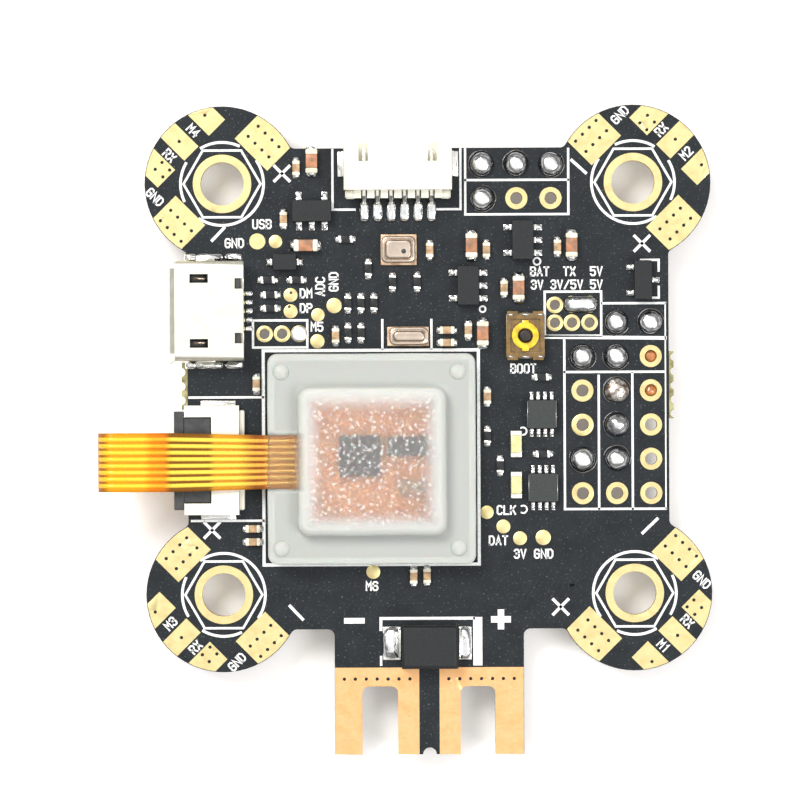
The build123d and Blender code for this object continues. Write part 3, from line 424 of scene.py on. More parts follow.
def islands(node):
    """The lowest and highest corners of each separate solid of a CAD node."""
    bm = welded(node)
    seen = set()
    boxes = []
    for vert in bm.verts:
        if vert in seen:
            continue
        stack = [vert]
        seen.add(vert)
        low, high = vert.co.copy(), vert.co.copy()
        while stack:
            at = stack.pop()
            low = Vector(map(min, low, at.co))
            high = Vector(map(max, high, at.co))
            for edge in at.link_edges:
                other = edge.other_vert(at)
                if other not in seen:
                    seen.add(other)
                    stack.append(other)
        boxes.append((low, high))
    bm.free()
    return boxes


def middle_of(box):
    return (box[0] + box[1]) / 2


def skin(bm, loops, ends=True):
    """Join a run of equal loops with faces, and close its two ends."""
    for a, b in zip(loops, loops[1:]):
        count = len(a)
        for k in range(count):
            bm.faces.new((a[k], a[(k + 1) % count], b[(k + 1) % count], b[k]))
    if ends:
        bm.faces.new(loops[0])
        bm.faces.new(loops[-1])


def block(bm, middle, size):
    """A cuboid added to a mesh; the corners that it is made of."""
    matrix = Matrix.Translation(middle) @ Matrix.Diagonal((*size, 1))
    return bmesh.ops.create_cube(bm, size=1.0, matrix=matrix)["verts"]


def rounded_box(bm, middle, half, edge=0.3):
    """A small box with its edges taken off, added to a mesh; half its size is in millimetres."""
    corners = block(bm, middle, [2 * h * MM for h in half])
    edges = {e for v in corners for e in v.link_edges}
    bmesh.ops.bevel(bm, geom=list(edges), offset=min(half) * MM * edge, segments=2, affect="EDGES")


def blocks(name, material, slot, boxes, edge=0.3):
    """A piece on the board made of small rounded boxes, each a middle and half its size."""
    bm = bmesh.new()
    for middle, half in boxes:
        rounded_box(bm, Vector(middle), half, edge)
    return on_board(name, bm, material, slot)


def plug(bm, middle, radius, top_radius, depth, segments=24, turned=False):
    """A short tapered disc; sizes in millimetres."""
    matrix = Matrix.Translation(middle)
    if turned:
        matrix = matrix @ Matrix.Rotation(math.pi, 4, "X")
    bmesh.ops.create_cone(bm, cap_ends=True, segments=segments, radius1=radius * MM, radius2=top_radius * MM,
                          depth=depth * MM, matrix=matrix)


def rounded_ring(bm, middle, half_x, half_y, radius, z, side=10):
    """A loop of points round a rectangle with rounded corners."""
    arc = 8
    radius = min(radius, half_x, half_y)
    hearts = [(middle.x + sx * (half_x - radius), middle.y + sy * (half_y - radius))
              for sx, sy in ((1, 1), (-1, 1), (-1, -1), (1, -1))]
    loop = []
    for quarter, (x, y) in enumerate(hearts):
        for i in range(arc + 1):
            a = math.pi / 2 * (quarter + i / arc)
            dx, dy = radius * math.cos(a), radius * math.sin(a)
            loop.append((x + dx, y + dy))
        # the straight side up to the next corner
        next_x, next_y = hearts[(quarter + 1) % 4]
        for i in range(1, side):
            t = i / side
            loop.append((x + dx + (next_x - x) * t, y + dy + (next_y - y) * t))
    return [bm.verts.new((*point, z)) for point in loop]


def mound(bm, middle, half, height, power, steps, lump, disc=False):
    """A pillow of solder on a rounded rectangular footprint, or on a round one."""
    seed = Vector((middle.x, middle.y, 0)) / MM
    rows = []
    for i in range(steps + 1):
        row = []
        for j in range(steps + 1):
            u = math.sin((2 * i / steps - 1) * math.pi / 2)
            v = math.sin((2 * j / steps - 1) * math.pi / 2)
            # squeeze the square grid into a rounded rectangle
            x = u * (1 - 0.16 * v * v * abs(v))
            y = v * (1 - 0.16 * u * u * abs(u))
            rise = max(0.0, 1 - abs(u) ** power) ** 0.6 * max(0.0, 1 - abs(v) ** power) ** 0.6
            if disc:
                x, y = u * math.sqrt(1 - v * v / 2), v * math.sqrt(1 - u * u / 2)
                rise = max(0.0, 1 - math.hypot(x, y) ** power) ** 0.6
            wobble = 1 + lump * noise.noise(seed + Vector((u * 1.7, v * 1.7, 3)))
            point = Vector((x * half[0], y * half[1], rise * height * wobble))
            row.append(bm.verts.new(middle + point))
        rows.append(row)
    for i in range(steps):
        for j in range(steps):
            bm.faces.new((rows[i][j], rows[i + 1][j], rows[i + 1][j + 1], rows[i][j + 1]))
    rim = [row[0] for row in rows] + rows[-1][1:] + [row[-1] for row in rows[-2::-1]] + rows[0][-2:0:-1]
    bm.faces.new(rim)


def strip(bm, points, width, height, closed=False):
    """A flat printed or etched line with mitred corners, as a thin solid on the board."""
    points = [Vector(p) for p in points]
    last = len(points) - 1
    rings = []
    for i, p in enumerate(points):
        into = (p - points[i - 1]).normalized() if i or closed else None
        out = (points[(i + 1) % len(points)] - p).normalized() if i < last or closed else into
        if into is None:
            into = out
        side = Vector((-(into + out).y, (into + out).x))
        side.normalize()
        square = Vector((-out.y, out.x))
        miter = min(1 / max(side.dot(square), 0.35), 2.2)
        offset = side * (width / 2 * miter)
        end = Vector((0, 0))
        if not closed and i in (0, last):
            end = (into if i else -out) * width * 0.4
        left, right = p + offset + end, p - offset + end
        corners = ((left, 0), (left, height), (right, height), (right, 0))
        rings.append([bm.verts.new((*q, BOARD_TOP + h)) for q, h in corners])
    skin(bm, rings + rings[:1] if closed else rings, not closed)


def ring_points(x, y, radius, count, start=0.0, end=360.0):
    """Points on a circle or an arc."""
    span = end - start
    last = count if span >= 360 else count - 1
    angles = [math.radians(start + span * i / last) for i in range(count)]
    return [(x + radius * math.cos(a), y + radius * math.sin(a)) for a in angles]


# ---------------------------------------------------------------- camera, light and table
VIEW_MM = 59.6
VIEW_X, VIEW_Y = -2.0, -0.96
VIEW_TURN = math.radians(-0.26)
VIEW_DISTANCE = 0.55
SENSOR_MM = 36

camera_data = bpy.data.cameras.new("camera")
camera_data.sensor_width = SENSOR_MM
camera_data.lens = SENSOR_MM * VIEW_DISTANCE / (VIEW_MM * MM)
camera_data.clip_start = 0.01
camera = bpy.data.objects.new("camera", camera_data)
camera.location = (VIEW_X * MM, VIEW_Y * MM, BOARD_TOP + VIEW_DISTANCE)
camera.rotation_euler = (0, 0, VIEW_TURN)
bpy.context.collection.objects.link(camera)
bpy.context.scene.camera = camera


def area_light(name, location, size, power, color):
    """A soft box that faces the origin."""
    data = bpy.data.lights.new(name, "AREA")
    data.shape = "RECTANGLE"
    data.size, data.size_y = size
    data.energy = power
    data.color = color
    light = bpy.data.objects.new(name, data)
    light.location = location
    light.rotation_euler = (-Vector(location)).to_track_quat("-Z", "Y").to_euler()
    bpy.context.collection.objects.link(light)


area_light("key_softbox", (-0.22, 0.26, 0.50), (0.30, 0.24), 3.0, (1.0, 0.985, 0.96))
area_light("fill_softbox", (0.30, -0.14, 0.46), (0.24, 0.24), 1.6, (0.96, 0.98, 1.0))

# a pale horizon, a dimmer band of room above it, and the white studio ceiling
SKY_LEVELS = ((0.0, 0.60), (0.28, 0.60), (0.42, 0.16), (0.66, 0.20), (0.80, 1.0), (1.0, 1.0))
world = bpy.data.worlds.new("studio")
world.use_nodes = True
bpy.context.scene.world = world
sky = world.node_tree
toward = sky.nodes.new("ShaderNodeTexCoord")
split = sky.nodes.new("ShaderNodeSeparateXYZ")
fade = sky.nodes.new("ShaderNodeValToRGB")
sky.links.new(toward.outputs["Generated"], split.inputs[0])
sky.links.new(split.outputs["Z"], fade.inputs[0])
light_of_sky = set_ramp(fade, [(position, (level, level, level)) for position, level in SKY_LEVELS])
sky.links.new(light_of_sky, sky.nodes["Background"].inputs["Color"])
sky.nodes["Background"].inputs["Strength"].default_value = 1.02
bpy.context.scene.view_settings.view_transform = "Standard"

FLOOR_GAP = 0.05 * MM
floor_mesh = bmesh.new()
bmesh.ops.create_grid(floor_mesh, x_segments=8, y_segments=8, size=1.2)
bmesh.ops.translate(floor_mesh, verts=floor_mesh.verts, vec=(0, 0, cad_bounds[0][2] - FLOOR_GAP))
piece("table", floor_mesh, TABLE)


# ---------------------------------------------------------------- board, plating and legend
def make_board():
    """The masked board, with bare laminate at its edges and on the stubs of its break-off tabs."""
    bm = with_flats("circuit_board")
    for x in (-TAB_LINE, TAB_LINE):
        everything = bm.verts[:] + bm.edges[:] + bm.faces[:]
        bmesh.ops.bisect_plane(bm, geom=everything, plane_co=(x, 0, 0), plane_no=(1, 0, 0), dist=1e-7)
    for face in bm.faces:
        spot = face.calc_center_median()
        tab = abs(spot.x) > TAB_LINE and abs(spot.y) < 4 * MM
        face.material_index = 1 if tab or abs(face.normal.z) < 0.9 else 0
    obj = finish_mesh(piece("board_finished", bm, MASK, LAMINATE), 0.03)
    place(obj, "board", "solder_mask_board", "circuit_board")


def clear_of(spots, x, y, gap):
    """Whether a point on the board keeps away from everything already there."""
    return all(not (low.x - gap < x < high.x + gap and low.y - gap < y < high.y + gap) for low, high in spots)


GOLD_NODES = ("mounting_hole_plating", "header_hole_plating", "jumper_hole_plating", "motor_solder_pads",
              "test_pads")
# rows of vias: the first one's place, how many, and their pitch
VIA_ROWS = ((-6.2, -16.2, 9, 0.42), (6.4, -14.6, 12, 0.42), (5.9, -15.5, 9, 0.42), (-10.5, -15.0, 7, 0.5))
LOOSE_VIAS = 170
TRACKS = 95


def make_copper_relief():
    """The vias and the tracks that stand out a little under the mask."""
    bm = bmesh.new()
    busy = []
    for node in (*GOLD_NODES, "battery_pads"):
        busy += islands(node)
    draw = random.Random(5)
    spots = [(k * pitch + x, y) for x, y, count, pitch in VIA_ROWS for k in range(count)]
    spots += [(draw.uniform(-17, 17), draw.uniform(-17, 17)) for _ in range(LOOSE_VIAS)]
    for x, y in spots:
        if not clear_of(busy, x * MM, y * MM, 0.35 * MM):
            continue
        for radius, lift in ((0.24, 0.008), (0.13, 0.014)):
            plug(bm, (x * MM, y * MM, BOARD_TOP + lift / 2 * MM), radius, radius * 0.8, lift, 18)
    for track in range(TRACKS):
        x, y = draw.uniform(-16, 16), draw.uniform(-16, 16)
        heading = draw.randrange(8) * math.pi / 4
        turn = draw.choice((-1, 1)) * math.pi / 4
        path = [(x * MM, y * MM)]
        for length in (draw.uniform(0.8, 3.2), draw.uniform(0.5, 1.8), draw.uniform(0.8, 3.5)):
            x += length * math.cos(heading)
            y += length * math.sin(heading)
            path.append((x * MM, y * MM))
            heading += turn
            turn = -turn
        dense = [tuple(Vector(a).lerp(Vector(b), t / 8)) for a, b in zip(path, path[1:]) for t in range(9)]
        inside = all(abs(px) < 17.4 * MM and abs(py) < 17.4 * MM for px, py in dense)
        if inside and all(clear_of(busy, px, py, 0.3 * MM) for px, py in dense):
            # each track a hair higher than the last, so that crossing ones don't share a face
            strip(bm, path, draw.choice((0.13, 0.15, 0.2)) * MM, (0.006 + 0.00005 * track) * MM)
    on_board("masked_copper", bm, MASK, "solder_mask_board").data.shade_flat()


# single-stroke letters on a grid 4 wide and 6 high
BOWL = ((4, 5), (3, 6), (1, 6), (0, 5), (0, 1), (1, 0), (3, 0), (4, 1))
HEAD = ((0, 0), (0, 6), (3, 6), (4, 5), (4, 4), (3, 3), (0, 3))
GLYPHS = {
    "A": (((0, 0), (2, 6), (4, 0)), ((0.8, 2), (3.2, 2))),
    "B": (((0, 0), (0, 6), (3, 6), (4, 5.2), (4, 3.9), (3, 3.1), (0, 3.1)),
          ((3, 3.1), (4, 2.3), (4, 0.9), (3, 0), (0, 0))),
    "C": (BOWL,),
    "D": (((0, 0), (0, 6), (2.6, 6), (4, 4.6), (4, 1.4), (2.6, 0), (0, 0)),),
    "G": ((*BOWL, (4, 3), (2, 3)),),
    "K": (((0, 0), (0, 6)), ((4, 6), (0, 2.6)), ((1.4, 3.7), (4, 0))),
    "L": (((0, 6), (0, 0), (4, 0)),),
    "M": (((0, 0), (0, 6), (2, 3), (4, 6), (4, 0)),),
    "N": (((0, 0), (0, 6), (4, 0), (4, 6)),),
    "O": (((1, 0), (0, 1), (0, 5), (1, 6), (3, 6), (4, 5), (4, 1), (3, 0), (1, 0)),),
    "P": (HEAD,),
    "R": (HEAD, ((2, 3), (4, 0))),
    "S": (((4, 5), (3, 6), (1, 6), (0, 5), (0, 4), (1, 3.1), (3, 2.9), (4, 2), (4, 1), (3, 0), (1, 0),
           (0, 1)),),
    "T": (((0, 6), (4, 6)), ((2, 6), (2, 0))),
    "U": (((0, 6), (0, 1), (1, 0), (3, 0), (4, 1), (4, 6)),),
    "V": (((0, 6), (2, 0), (4, 6)),),
    "X": (((0, 0), (4, 6)), ((0, 6), (4, 0))),
    "/": (((0, 0), (4, 6)),),
    "1": (((1, 5), (2, 6), (2, 0)),),
    "2": (((0, 5), (1, 6), (3, 6), (4, 5), (4, 4), (0, 0), (4, 0)),),
    "3": (((0, 5), (1, 6), (3, 6), (4, 5), (4, 4), (3, 3.2), (1.5, 3.2)),
          ((3, 3.2), (4, 2.2), (4, 1), (3, 0), (1, 0), (0, 1))),
    "4": (((3, 0), (3, 6), (0, 2), (4, 2)),),
    "5": (((4, 6), (0, 6), (0, 3.5), (3, 3.7), (4, 2.7), (4, 1), (3, 0), (1, 0), (0, 1)),),
    "6": ((*BOWL, (4, 2.3), (3, 3.3), (0, 3.1)),),
}
INK_HEIGHT = 0.018 * MM
LETTER_HEIGHT = 0.62
LETTER_LINE = 0.125
LETTER_SQUEEZE = 0.8


def ink(bm, points, width, closed=False, height=INK_HEIGHT):
    """A printed line through points in millimetres."""
    strip(bm, [(x * MM, y * MM) for x, y in points], width * MM, height, closed)


def write(bm, text, x, y, angle):
    """Write a short generic legend, centred on a point."""
    unit = LETTER_HEIGHT / 6
    across = unit * LETTER_SQUEEZE
    advance = 6.0 * across
    turn = Matrix.Rotation(math.radians(angle), 2)
    start = -(len(text) * advance - 2 * across) / 2
    for index, letter in enumerate(text):
        for stroke in GLYPHS[letter]:
            left = start + index * advance
            local = [turn @ Vector((left + gx * across, (gy - 3) * unit)) for gx, gy in stroke]
            ink(bm, [(x + at.x, y + at.y) for at in local], LETTER_LINE)


PITCH = 15.25
LINE = 0.17
THICK = 0.23
# width, then the points; a line that ends where it starts is closed
LINES = (
    # serial socket
    (LINE, (-7.05, 17.75), (-7.05, 13.3), (-5.4, 13.3)),
    (LINE, (0.66, 13.3), (2.45, 13.3), (2.45, 17.75)),
    # top header
    (LINE, (2.8, 17.75), (2.8, 12.9), (10.45, 12.9), (10.45, 17.75)),
    (LINE, (2.8, 15.45), (10.45, 15.45)),
    # jumper block and side header
    (LINE, (8.66, 7.14), (12.85, 7.14), (12.85, 3.86), (8.66, 3.86), (8.66, 7.14)),
    (LINE, (12.9, 6.26), (17.6, 6.26)),
    (0.26, (8.7, 3.78), (17.6, 3.67)),
    (LINE, (10.1, 3.6), (10.1, -9.0), (17.6, -9.0)),
    (LINE, (10.1, 1.17), (17.5, 1.17)),
    (LINE, (12.64, 0.9), (12.64, -9.0)),
    (LINE, (15.14, 1.1), (15.14, -9.0)),
    (0.1, (17.6, 6.26), (17.6, -9.0)),
    # three-pin block
    (LINE, (-13.0, 5.1), (-8.97, 5.1), (-8.97, 3.09), (-13.0, 3.09), (-13.0, 5.1)),
    # outline of the sensor cover, and the crystal above it
    (THICK, (-12.25, 2.85), (3.72, 2.85), (3.72, -13.05), (-12.25, -13.05), (-12.25, 2.85)),
    (LINE, (-3.4, 2.95), (-3.4, 5.1)),
    (LINE, (0.24, 2.95), (0.24, 5.1)),
    # flat-flex socket
    (LINE, (-17.75, -0.6), (-12.25, -0.6)),
    (LINE, (-17.6, -9.76), (-12.25, -9.76)),
    # surge diode
    (0.22, (-3.6, -17.9), (-3.6, -17.06), (3.3, -17.06)),
    (0.68, (3.58, -17.25), (3.58, -20.3)),
    (LINE, (-3.6, -19.9), (-3.6, -20.5)),
    # transistor corners
    (LINE, (15.8, 9.47), (17.13, 9.47), (17.13, 8.65)),
    (LINE, (17.13, 7.48), (17.13, 6.66), (16.57, 6.66)),
    # the minus stroke beside each lobe
    (0.22, (-15.1, 12.0), (-16.0, 11.05)),
    (0.22, (10.7, 16.9), (11.75, 15.95)),
    (0.22, (15.85, -10.8), (16.95, -9.75)),
    (0.22, (-10.35, -16.1), (-9.4, -17.1)),
    # polarity of the battery plates
    (0.42, (-6.17, -17.22), (-4.97, -17.22)),
    (0.48, (4.76, -17.16), (5.86, -17.16)),
)
PLUS_MARKS = ((-10.8, 16.0), (15.9, 10.7), (9.75, -16.25), (-16.1, -10.45))
WORDS = (
    ("USB", -12.3, 12.25, 0), ("GND", -14.35, 10.85, 0), ("ADC", -8.0, 7.6, 90), ("GND", -7.0, 7.95, 90),
    ("DM", -9.05, 7.1, 0), ("DP", -9.05, 6.0, 0), ("M5", -8.25, 4.62, 0), ("BAT", 8.3, 8.65, 0),
    ("TX", 10.5, 8.65, 0), ("5V", 12.5, 8.65, 0), ("3V", 8.1, 7.67, 0), ("3V/5V", 10.3, 7.67, 0),
    ("5V", 12.5, 7.67, 0), ("BOOT", 7.05, 1.45, 0), ("CLK", 5.75, -9.05, 0), ("DAT", 5.15, -11.3, 0),
    ("3V", 6.75, -12.3, 0), ("GND", 8.5, -12.3, 0), ("M6", -4.25, -14.65, 0),
)
# the four lobes: which way each lies from the board's middle, anticlockwise, and its number
LOBES = ((1, 1, "2"), (-1, 1, "4"), (-1, -1, "3"), (1, -1, "1"))
# legends in the gaps between the pads of a lobe: outward from its centre, round it, and the text
LOBE_WORDS = ((2.85, 4.2, "GND"), (4.25, 1.25, "RX"), (4.3, -1.3, "M"))


def make_legend():
    """The printed lines, marks and generic legends."""
    bm = bmesh.new()
    for width, *points in LINES:
        closed = points[0] == points[-1]
        ink(bm, points[:-1] if closed else points, width, closed)
    for index, (side_x, side_y, number) in enumerate(LOBES):
        angle = 45 + 90 * index
        cx, cy = PITCH * side_x, PITCH * side_y
        # a circle that the pads interrupt, and the hexagon of a standoff inside it
        ink(bm, ring_points(cx, cy, 3.08, 40, angle + 102, angle + 258), 0.2)
        for side in (-1, 1):
            start = angle + side * 15
            ink(bm, ring_points(cx, cy, 3.08, 20, start, start + side * 54), 0.2)
        ink(bm, ring_points(cx, cy, 2.86, 6), LINE, True)
        for out, aside, text in LOBE_WORDS:
            at = Matrix.Rotation(math.radians(angle), 2) @ Vector((out, aside))
            word = text + number if text == "M" else text
            write(bm, word, cx + at.x, cy + at.y, (angle + 90) % 180 - 90)
    for x, y in PLUS_MARKS:
        for side in (-1, 1):
            ink(bm, [(x + t, y + side * t) for t in (-0.55, 0.55)], 0.22)
    # the upright of the battery's plus, a little thicker so that it doesn't share a face with the other bar
    ink(bm, [(5.31, -16.61), (5.31, -17.71)], 0.48, False, INK_HEIGHT * 1.05)
    # first-pin marks
    for x, y, r in ((4.05, 5.87, 0.22), (8.1, 9.4, 0.26)):
        ink(bm, ring_points(x, y, r, 16), 0.13, True)
    for x, y in ((7.0, -3.2), (7.0, -9.0)):
        ink(bm, ring_points(x, y, 0.28, 10, -120, 120), 0.12)
    for word in WORDS:
        write(bm, *word)
    on_board("printed_legend", bm, INK, "white_ceramic").data.shade_flat()


make_board()
make_copper_relief()
make_legend()
for node in GOLD_NODES:
    detailed(node, GOLD, 0.015)
detailed("battery_pads", WARM_GOLD, 0.02)


# ---------------------------------------------------------------- solder
def solder_dome(bm, x, y, foot, height, peak, seed):
    """A hand-made joint: a short skirt over its ring, then a full round top, slightly pulled to one side."""
    rings, spokes = 14, 32
    base = Vector((x, y, PLATING_TOP))
    lean = Vector((math.cos(seed * 2.4), math.sin(seed * 2.4), 0)) * 0.12 * foot
    rows = []
    for i in range(rings):
        t = i / rings
        r = foot * math.cos(t * math.pi / 2) ** 0.95
        rise = height * (math.sin(t * math.pi / 2) * (1 - peak) + peak * t**4)
        row = []
        for k in range(spokes):
            a = 2 * math.pi * k / spokes
            probe = Vector((math.cos(a) * 0.8, math.sin(a) * 0.8, seed * 7 + t))
            wobble = 1 + 0.07 * noise.noise(probe)
            point = Vector((math.cos(a) * r * wobble, math.sin(a) * r * wobble, rise))
            row.append(bm.verts.new(base + point + lean * t * t))
        rows.append(row)
    skin(bm, rows, False)
    tip = bm.verts.new(base + Vector((0, 0, height)) + lean)
    for k in range(spokes):
        bm.faces.new((rows[-1][k], rows[-1][(k + 1) % spokes], tip))
    bm.faces.new(rows[0][::-1])


def halo(bm, x, y, radius, seed, start, sweep):
    """A low ridge of flux round part of a joint."""
    count = 40
    rows = []
    for i in range(count + 1):
        a = math.radians(start + sweep * i / count)
        probe = Vector((math.cos(a) * 1.1, math.sin(a) * 1.1, seed * 5.3))
        r = radius * (1 + 0.07 * noise.noise(probe))
        w = 0.16 * MM * (1 + 0.5 * noise.noise(probe * 2.3))
        row = []
        for offset, lift in ((-1, 0), (-0.45, 0.85), (0.35, 1), (1, 0)):
            rr = r + offset * w / 2
            z = BOARD_TOP + lift * 0.04 * MM
            row.append(bm.verts.new((x + rr * math.cos(a), y + rr * math.sin(a), z)))
        rows.append(row)
    skin(bm, rows)


# the joint that was overheated, and the one that was left with a pulled peak
BURNT_JOINT = Vector((13.97 * MM, -0.21 * MM))
PEAKED_JOINT = Vector((13.97 * MM, -2.75 * MM))


def make_header_solder():
    shiny, burnt, flux = bmesh.new(), bmesh.new(), bmesh.new()
    for index, (low, high) in enumerate(islands("header_solder_joints")):
        x, y = middle_of((low, high)).xy
        spoiled = (Vector((x, y)) - BURNT_JOINT).length < MM
        peaked = (Vector((x, y)) - PEAKED_JOINT).length < MM
        bm = burnt if spoiled else shiny
        height = (0.50 if spoiled else 0.62 + 0.1 * rng.random()) * MM
        foot = (high.x - low.x) / 2 * (1.19 + 0.05 * rng.random())
        solder_dome(bm, x, y, foot, height, 0.22 if peaked else 0.0, index + 1)
        # the tip of the joint on the underside
        plug(bm, (x, y, low.z + 0.06 * MM), foot / MM * 0.5, foot / MM * 0.2, 0.12, turned=True)
        halo(flux, x, y, foot * 1.1, index, 360 * rng.random(), 140 + 120 * rng.random())
    on_board("header_solder_finished", shiny, JOINT_SOLDER, "solder", "header_solder_joints")
    on_board("overheated_joint", burnt, BURNT_SOLDER, "solder")
    on_board("flux_rings", flux, FLUX, "solder_mask_board")


def make_jumper_solder():
    """The bridge over two holes, and the flat joint in a third."""
    bridge, flat = bmesh.new(), bmesh.new()
    for low, high in islands("jumper_solder_joints"):
        x, y = middle_of((low, high)).xy
        width, depth = high.x - low.x, high.y - low.y
        base = Vector((x, y, PLATING_TOP))
        if width > 1.5 * depth:
            mound(bridge, base, (width * 0.5, depth * 0.5), 0.42 * MM, 2.3, 20, 0.12)
        else:
            mound(flat, base, (width * 0.54, depth * 0.54), 0.14 * MM, 7, 18, 0.1, disc=True)
    on_board("jumper_solder_finished", bridge, JOINT_SOLDER, "solder", "jumper_solder_joints")
    on_board("levelled_jumper_solder", flat, FLAT_SOLDER, "solder")


# terminals of two-ended parts: the bodies between them, how far their solder spreads, and its share of
# the terminal's height
END_SOLDER = (
    ("large_capacitor_terminals", "large_capacitor_bodies", 0.16, 0.5),
    ("small_capacitor_terminals", "small_capacitor_bodies", 0.13, 0.5),
    ("resistor_terminals", "resistor_bodies", 0.13, 0.55),
)
# leads: how far the pillow of solder round each foot spreads along X and Y, as a share of the foot's own
# size, and how high it is
FOOT_SOLDER = (
    ("regulator_leads", 1.15, 1.15, 0.26), ("transistor_leads", 1.15, 1.15, 0.26),
    ("signal_diode_leads", 1.1, 1.2, 0.26), ("level_shifter_leads", 1.35, 1.0, 0.2),
    ("uart_connector_anchor_tabs", 1.0, 1.05, 0.25), ("flex_connector_anchor_tabs", 1.05, 1.0, 0.25),
    ("surge_diode_terminals", 1.08, 1.06, 0.5),
)
# where the USB shell's legs are along X, and half the length of the solder at each
SHELL_LEGS = ((-17.6, 0.5), (-16.2, 1.0), (-14.4, 0.7))


def make_fillets():
    """The solder that holds each terminal and lead foot to its pad."""
    bm = bmesh.new()

    def blob(x, y, half_x, half_y, height, power, steps, lump):
        mound(bm, Vector((x, y, BOARD_TOP)), (half_x * MM, half_y * MM), height * MM, power, steps, lump)

    for node, body, margin, share in END_SOLDER:
        cores = [middle_of(box) for box in islands(body)]
        for box in islands(node):
            middle = middle_of(box)
            core = min(cores, key=lambda c: (c - middle).length)
            outward = middle - core
            outward.z = 0
            outward.normalize()
            size = box[1] - box[0]
            half = (size.x / 2 + margin * MM * abs(outward.x), size.y / 2 + margin * MM * abs(outward.y))
            at = middle + outward * margin * MM * 1.1
            mound(bm, Vector((at.x, at.y, box[0].z)), half, size.z * share, 2.4, 8, 0.25)
    for node, wide, deep, tall in FOOT_SOLDER:
        for low, high in islands(node):
            if high.z < BOARD_TOP:
                continue
            x, y = middle_of((low, high)).xy
            blob(x, y, (high.x - low.x) / 2 * wide / MM, (high.y - low.y) / 2 * deep / MM, tall, 3, 10, 0.3)
    for low, high in islands("uart_connector_contacts"):
        blob((low.x + high.x) / 2, low.y + 0.66 * MM, 0.38, 0.82, 0.34, 6, 14, 0.2)
    for low, high in islands("usb_contacts"):
        blob(high.x - 0.28 * MM, (low.y + high.y) / 2, 0.36, 0.21, 0.2, 3, 10, 0.3)
    for low, high in islands("flex_connector_contacts"):
        blob(high.x - 0.12 * MM, (low.y + high.y) / 2, 0.24, 0.16, 0.14, 3, 8, 0.3)
    low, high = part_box("usb_shell")
    for y in (low.y + 0.12 * MM, high.y - 0.12 * MM):
        for x, half_length in SHELL_LEGS:
            blob(x * MM, y, half_length, 0.34, 0.3, 2.4, 14, 0.4)
    on_board("solder_fillets", bm, SOLDER, "solder")


make_header_solder()
make_jumper_solder()
make_fillets()


# ---------------------------------------------------------------- packages
for node, material, bevel in (
    ("usb_shell", SHELL, 0.06), ("usb_tongue", BLACK, 0.04), ("usb_contacts", GOLD, 0.02),
    ("uart_connector_housing", CREAM, 0.09), ("uart_connector_contacts", TIN, 0.05),
    ("uart_connector_anchor_tabs", TIN, 0.04),
    ("flex_connector_housing", CREAM, 0.05), ("flex_connector_slider", BLACK, 0.06),
    ("flex_connector_contacts", GOLD, 0.015), ("flex_connector_anchor_tabs", TIN, 0.04),
    ("imu_board", SENSOR_BOARD, 0.03), ("gyro_chip", EPOXY, 0.04), ("imu_regulator", EPOXY, 0.05),
    ("imu_capacitor", TAN_CERAMIC, 0.06),
    ("boot_button_base", BUTTON_BASE, 0.04), ("boot_button_dome", LID, 0.02),
    ("boot_button_film", BUTTON_FILM, 0.01), ("boot_button_frame", BUTTON_FILM, 0.04),
    ("boot_button_ring", BUTTON_RING, 0.09), ("boot_button_plunger", PLUNGER, 0.12),
    ("barometer_substrate", PINK_GOLD, 0.05), ("crystal_base", PINK_GOLD, 0.05),
    ("surge_diode_body", EPOXY, 0.08), ("surge_diode_terminals", TIN, 0.08),
    ("regulator_bodies", EPOXY, 0.06), ("regulator_leads", TIN, 0.06),
    ("transistor_body", EPOXY, 0.06), ("transistor_leads", TIN, 0.06),
    ("level_shifter_bodies", GREY_EPOXY, 0.05), ("level_shifter_leads", TIN, 0.03),
    ("signal_diode_body", EPOXY, 0.06), ("signal_diode_leads", TIN, 0.05),
    ("led_bases", TIN, 0.06), ("led_lenses", LED_RESIN, 0.07),
    ("large_capacitor_bodies", ORANGE_CERAMIC, 0.04), ("large_capacitor_terminals", WHITE_CERAMIC, 0.1),
    ("small_capacitor_bodies", TAN_CERAMIC, 0.03), ("small_capacitor_terminals", WHITE_CERAMIC, 0.07),
    ("resistor_bodies", EPOXY, 0.02), ("resistor_terminals", TIN, 0.06),
    ("microcontroller_body", EPOXY, 0.05), ("microcontroller_leads", TIN, 0.02),
    ("flash_memory_chip", EPOXY, 0.05), ("power_inductor", FERRITE, 0.12), ("current_shunt", SHUNT, 0.06),
):
    detailed(node, material, bevel)

# a lid's outline from its rim inwards: how far inside the CAD lid's, and the share of its height
LID_OUTLINE = (
    (-0.16, 0.0), (-0.16, 0.5), (-0.12, 0.62), (-0.01, 0.66), (0.02, 0.6), (0.05, 0.52), (0.09, 0.62),
    (0.14, 0.84), (0.18, 0.96), (0.25, 1.0), (0.34, 0.99), (0.44, 0.98),
)
BAROMETER_PORT = (-1.79 * MM, 10.18 * MM)


def make_lid(node, port=None):
    """A drawn metal lid: a flat rim, a bright rounded shoulder and a top that dishes in slightly."""
    low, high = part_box(node)
    tall = high.z - low.z
    bm = bmesh.new()
    loops = []
    for inset, rise in LID_OUTLINE:
        half_x, half_y = (high.x - low.x) / 2 - inset * MM, (high.y - low.y) / 2 - inset * MM
        radius = max(0.12, 0.34 - inset * 0.3) * MM
        loops.append(rounded_ring(bm, middle_of((low, high)), half_x, half_y, radius, low.z + tall * rise, 6))
    skin(bm, loops)
    finish_mesh(on_board(f"{node}_finished", bm, LID, node_slot[node], node))
    # a black disc on the lid for the port: painted shade where its hole is
    if port:
        hole = bmesh.new()
        plug(hole, (*port, low.z + tall * 0.985), 0.19, 0.16, 0.03)
        on_board(f"{node}_port", hole, BLACK, "black_moulding")


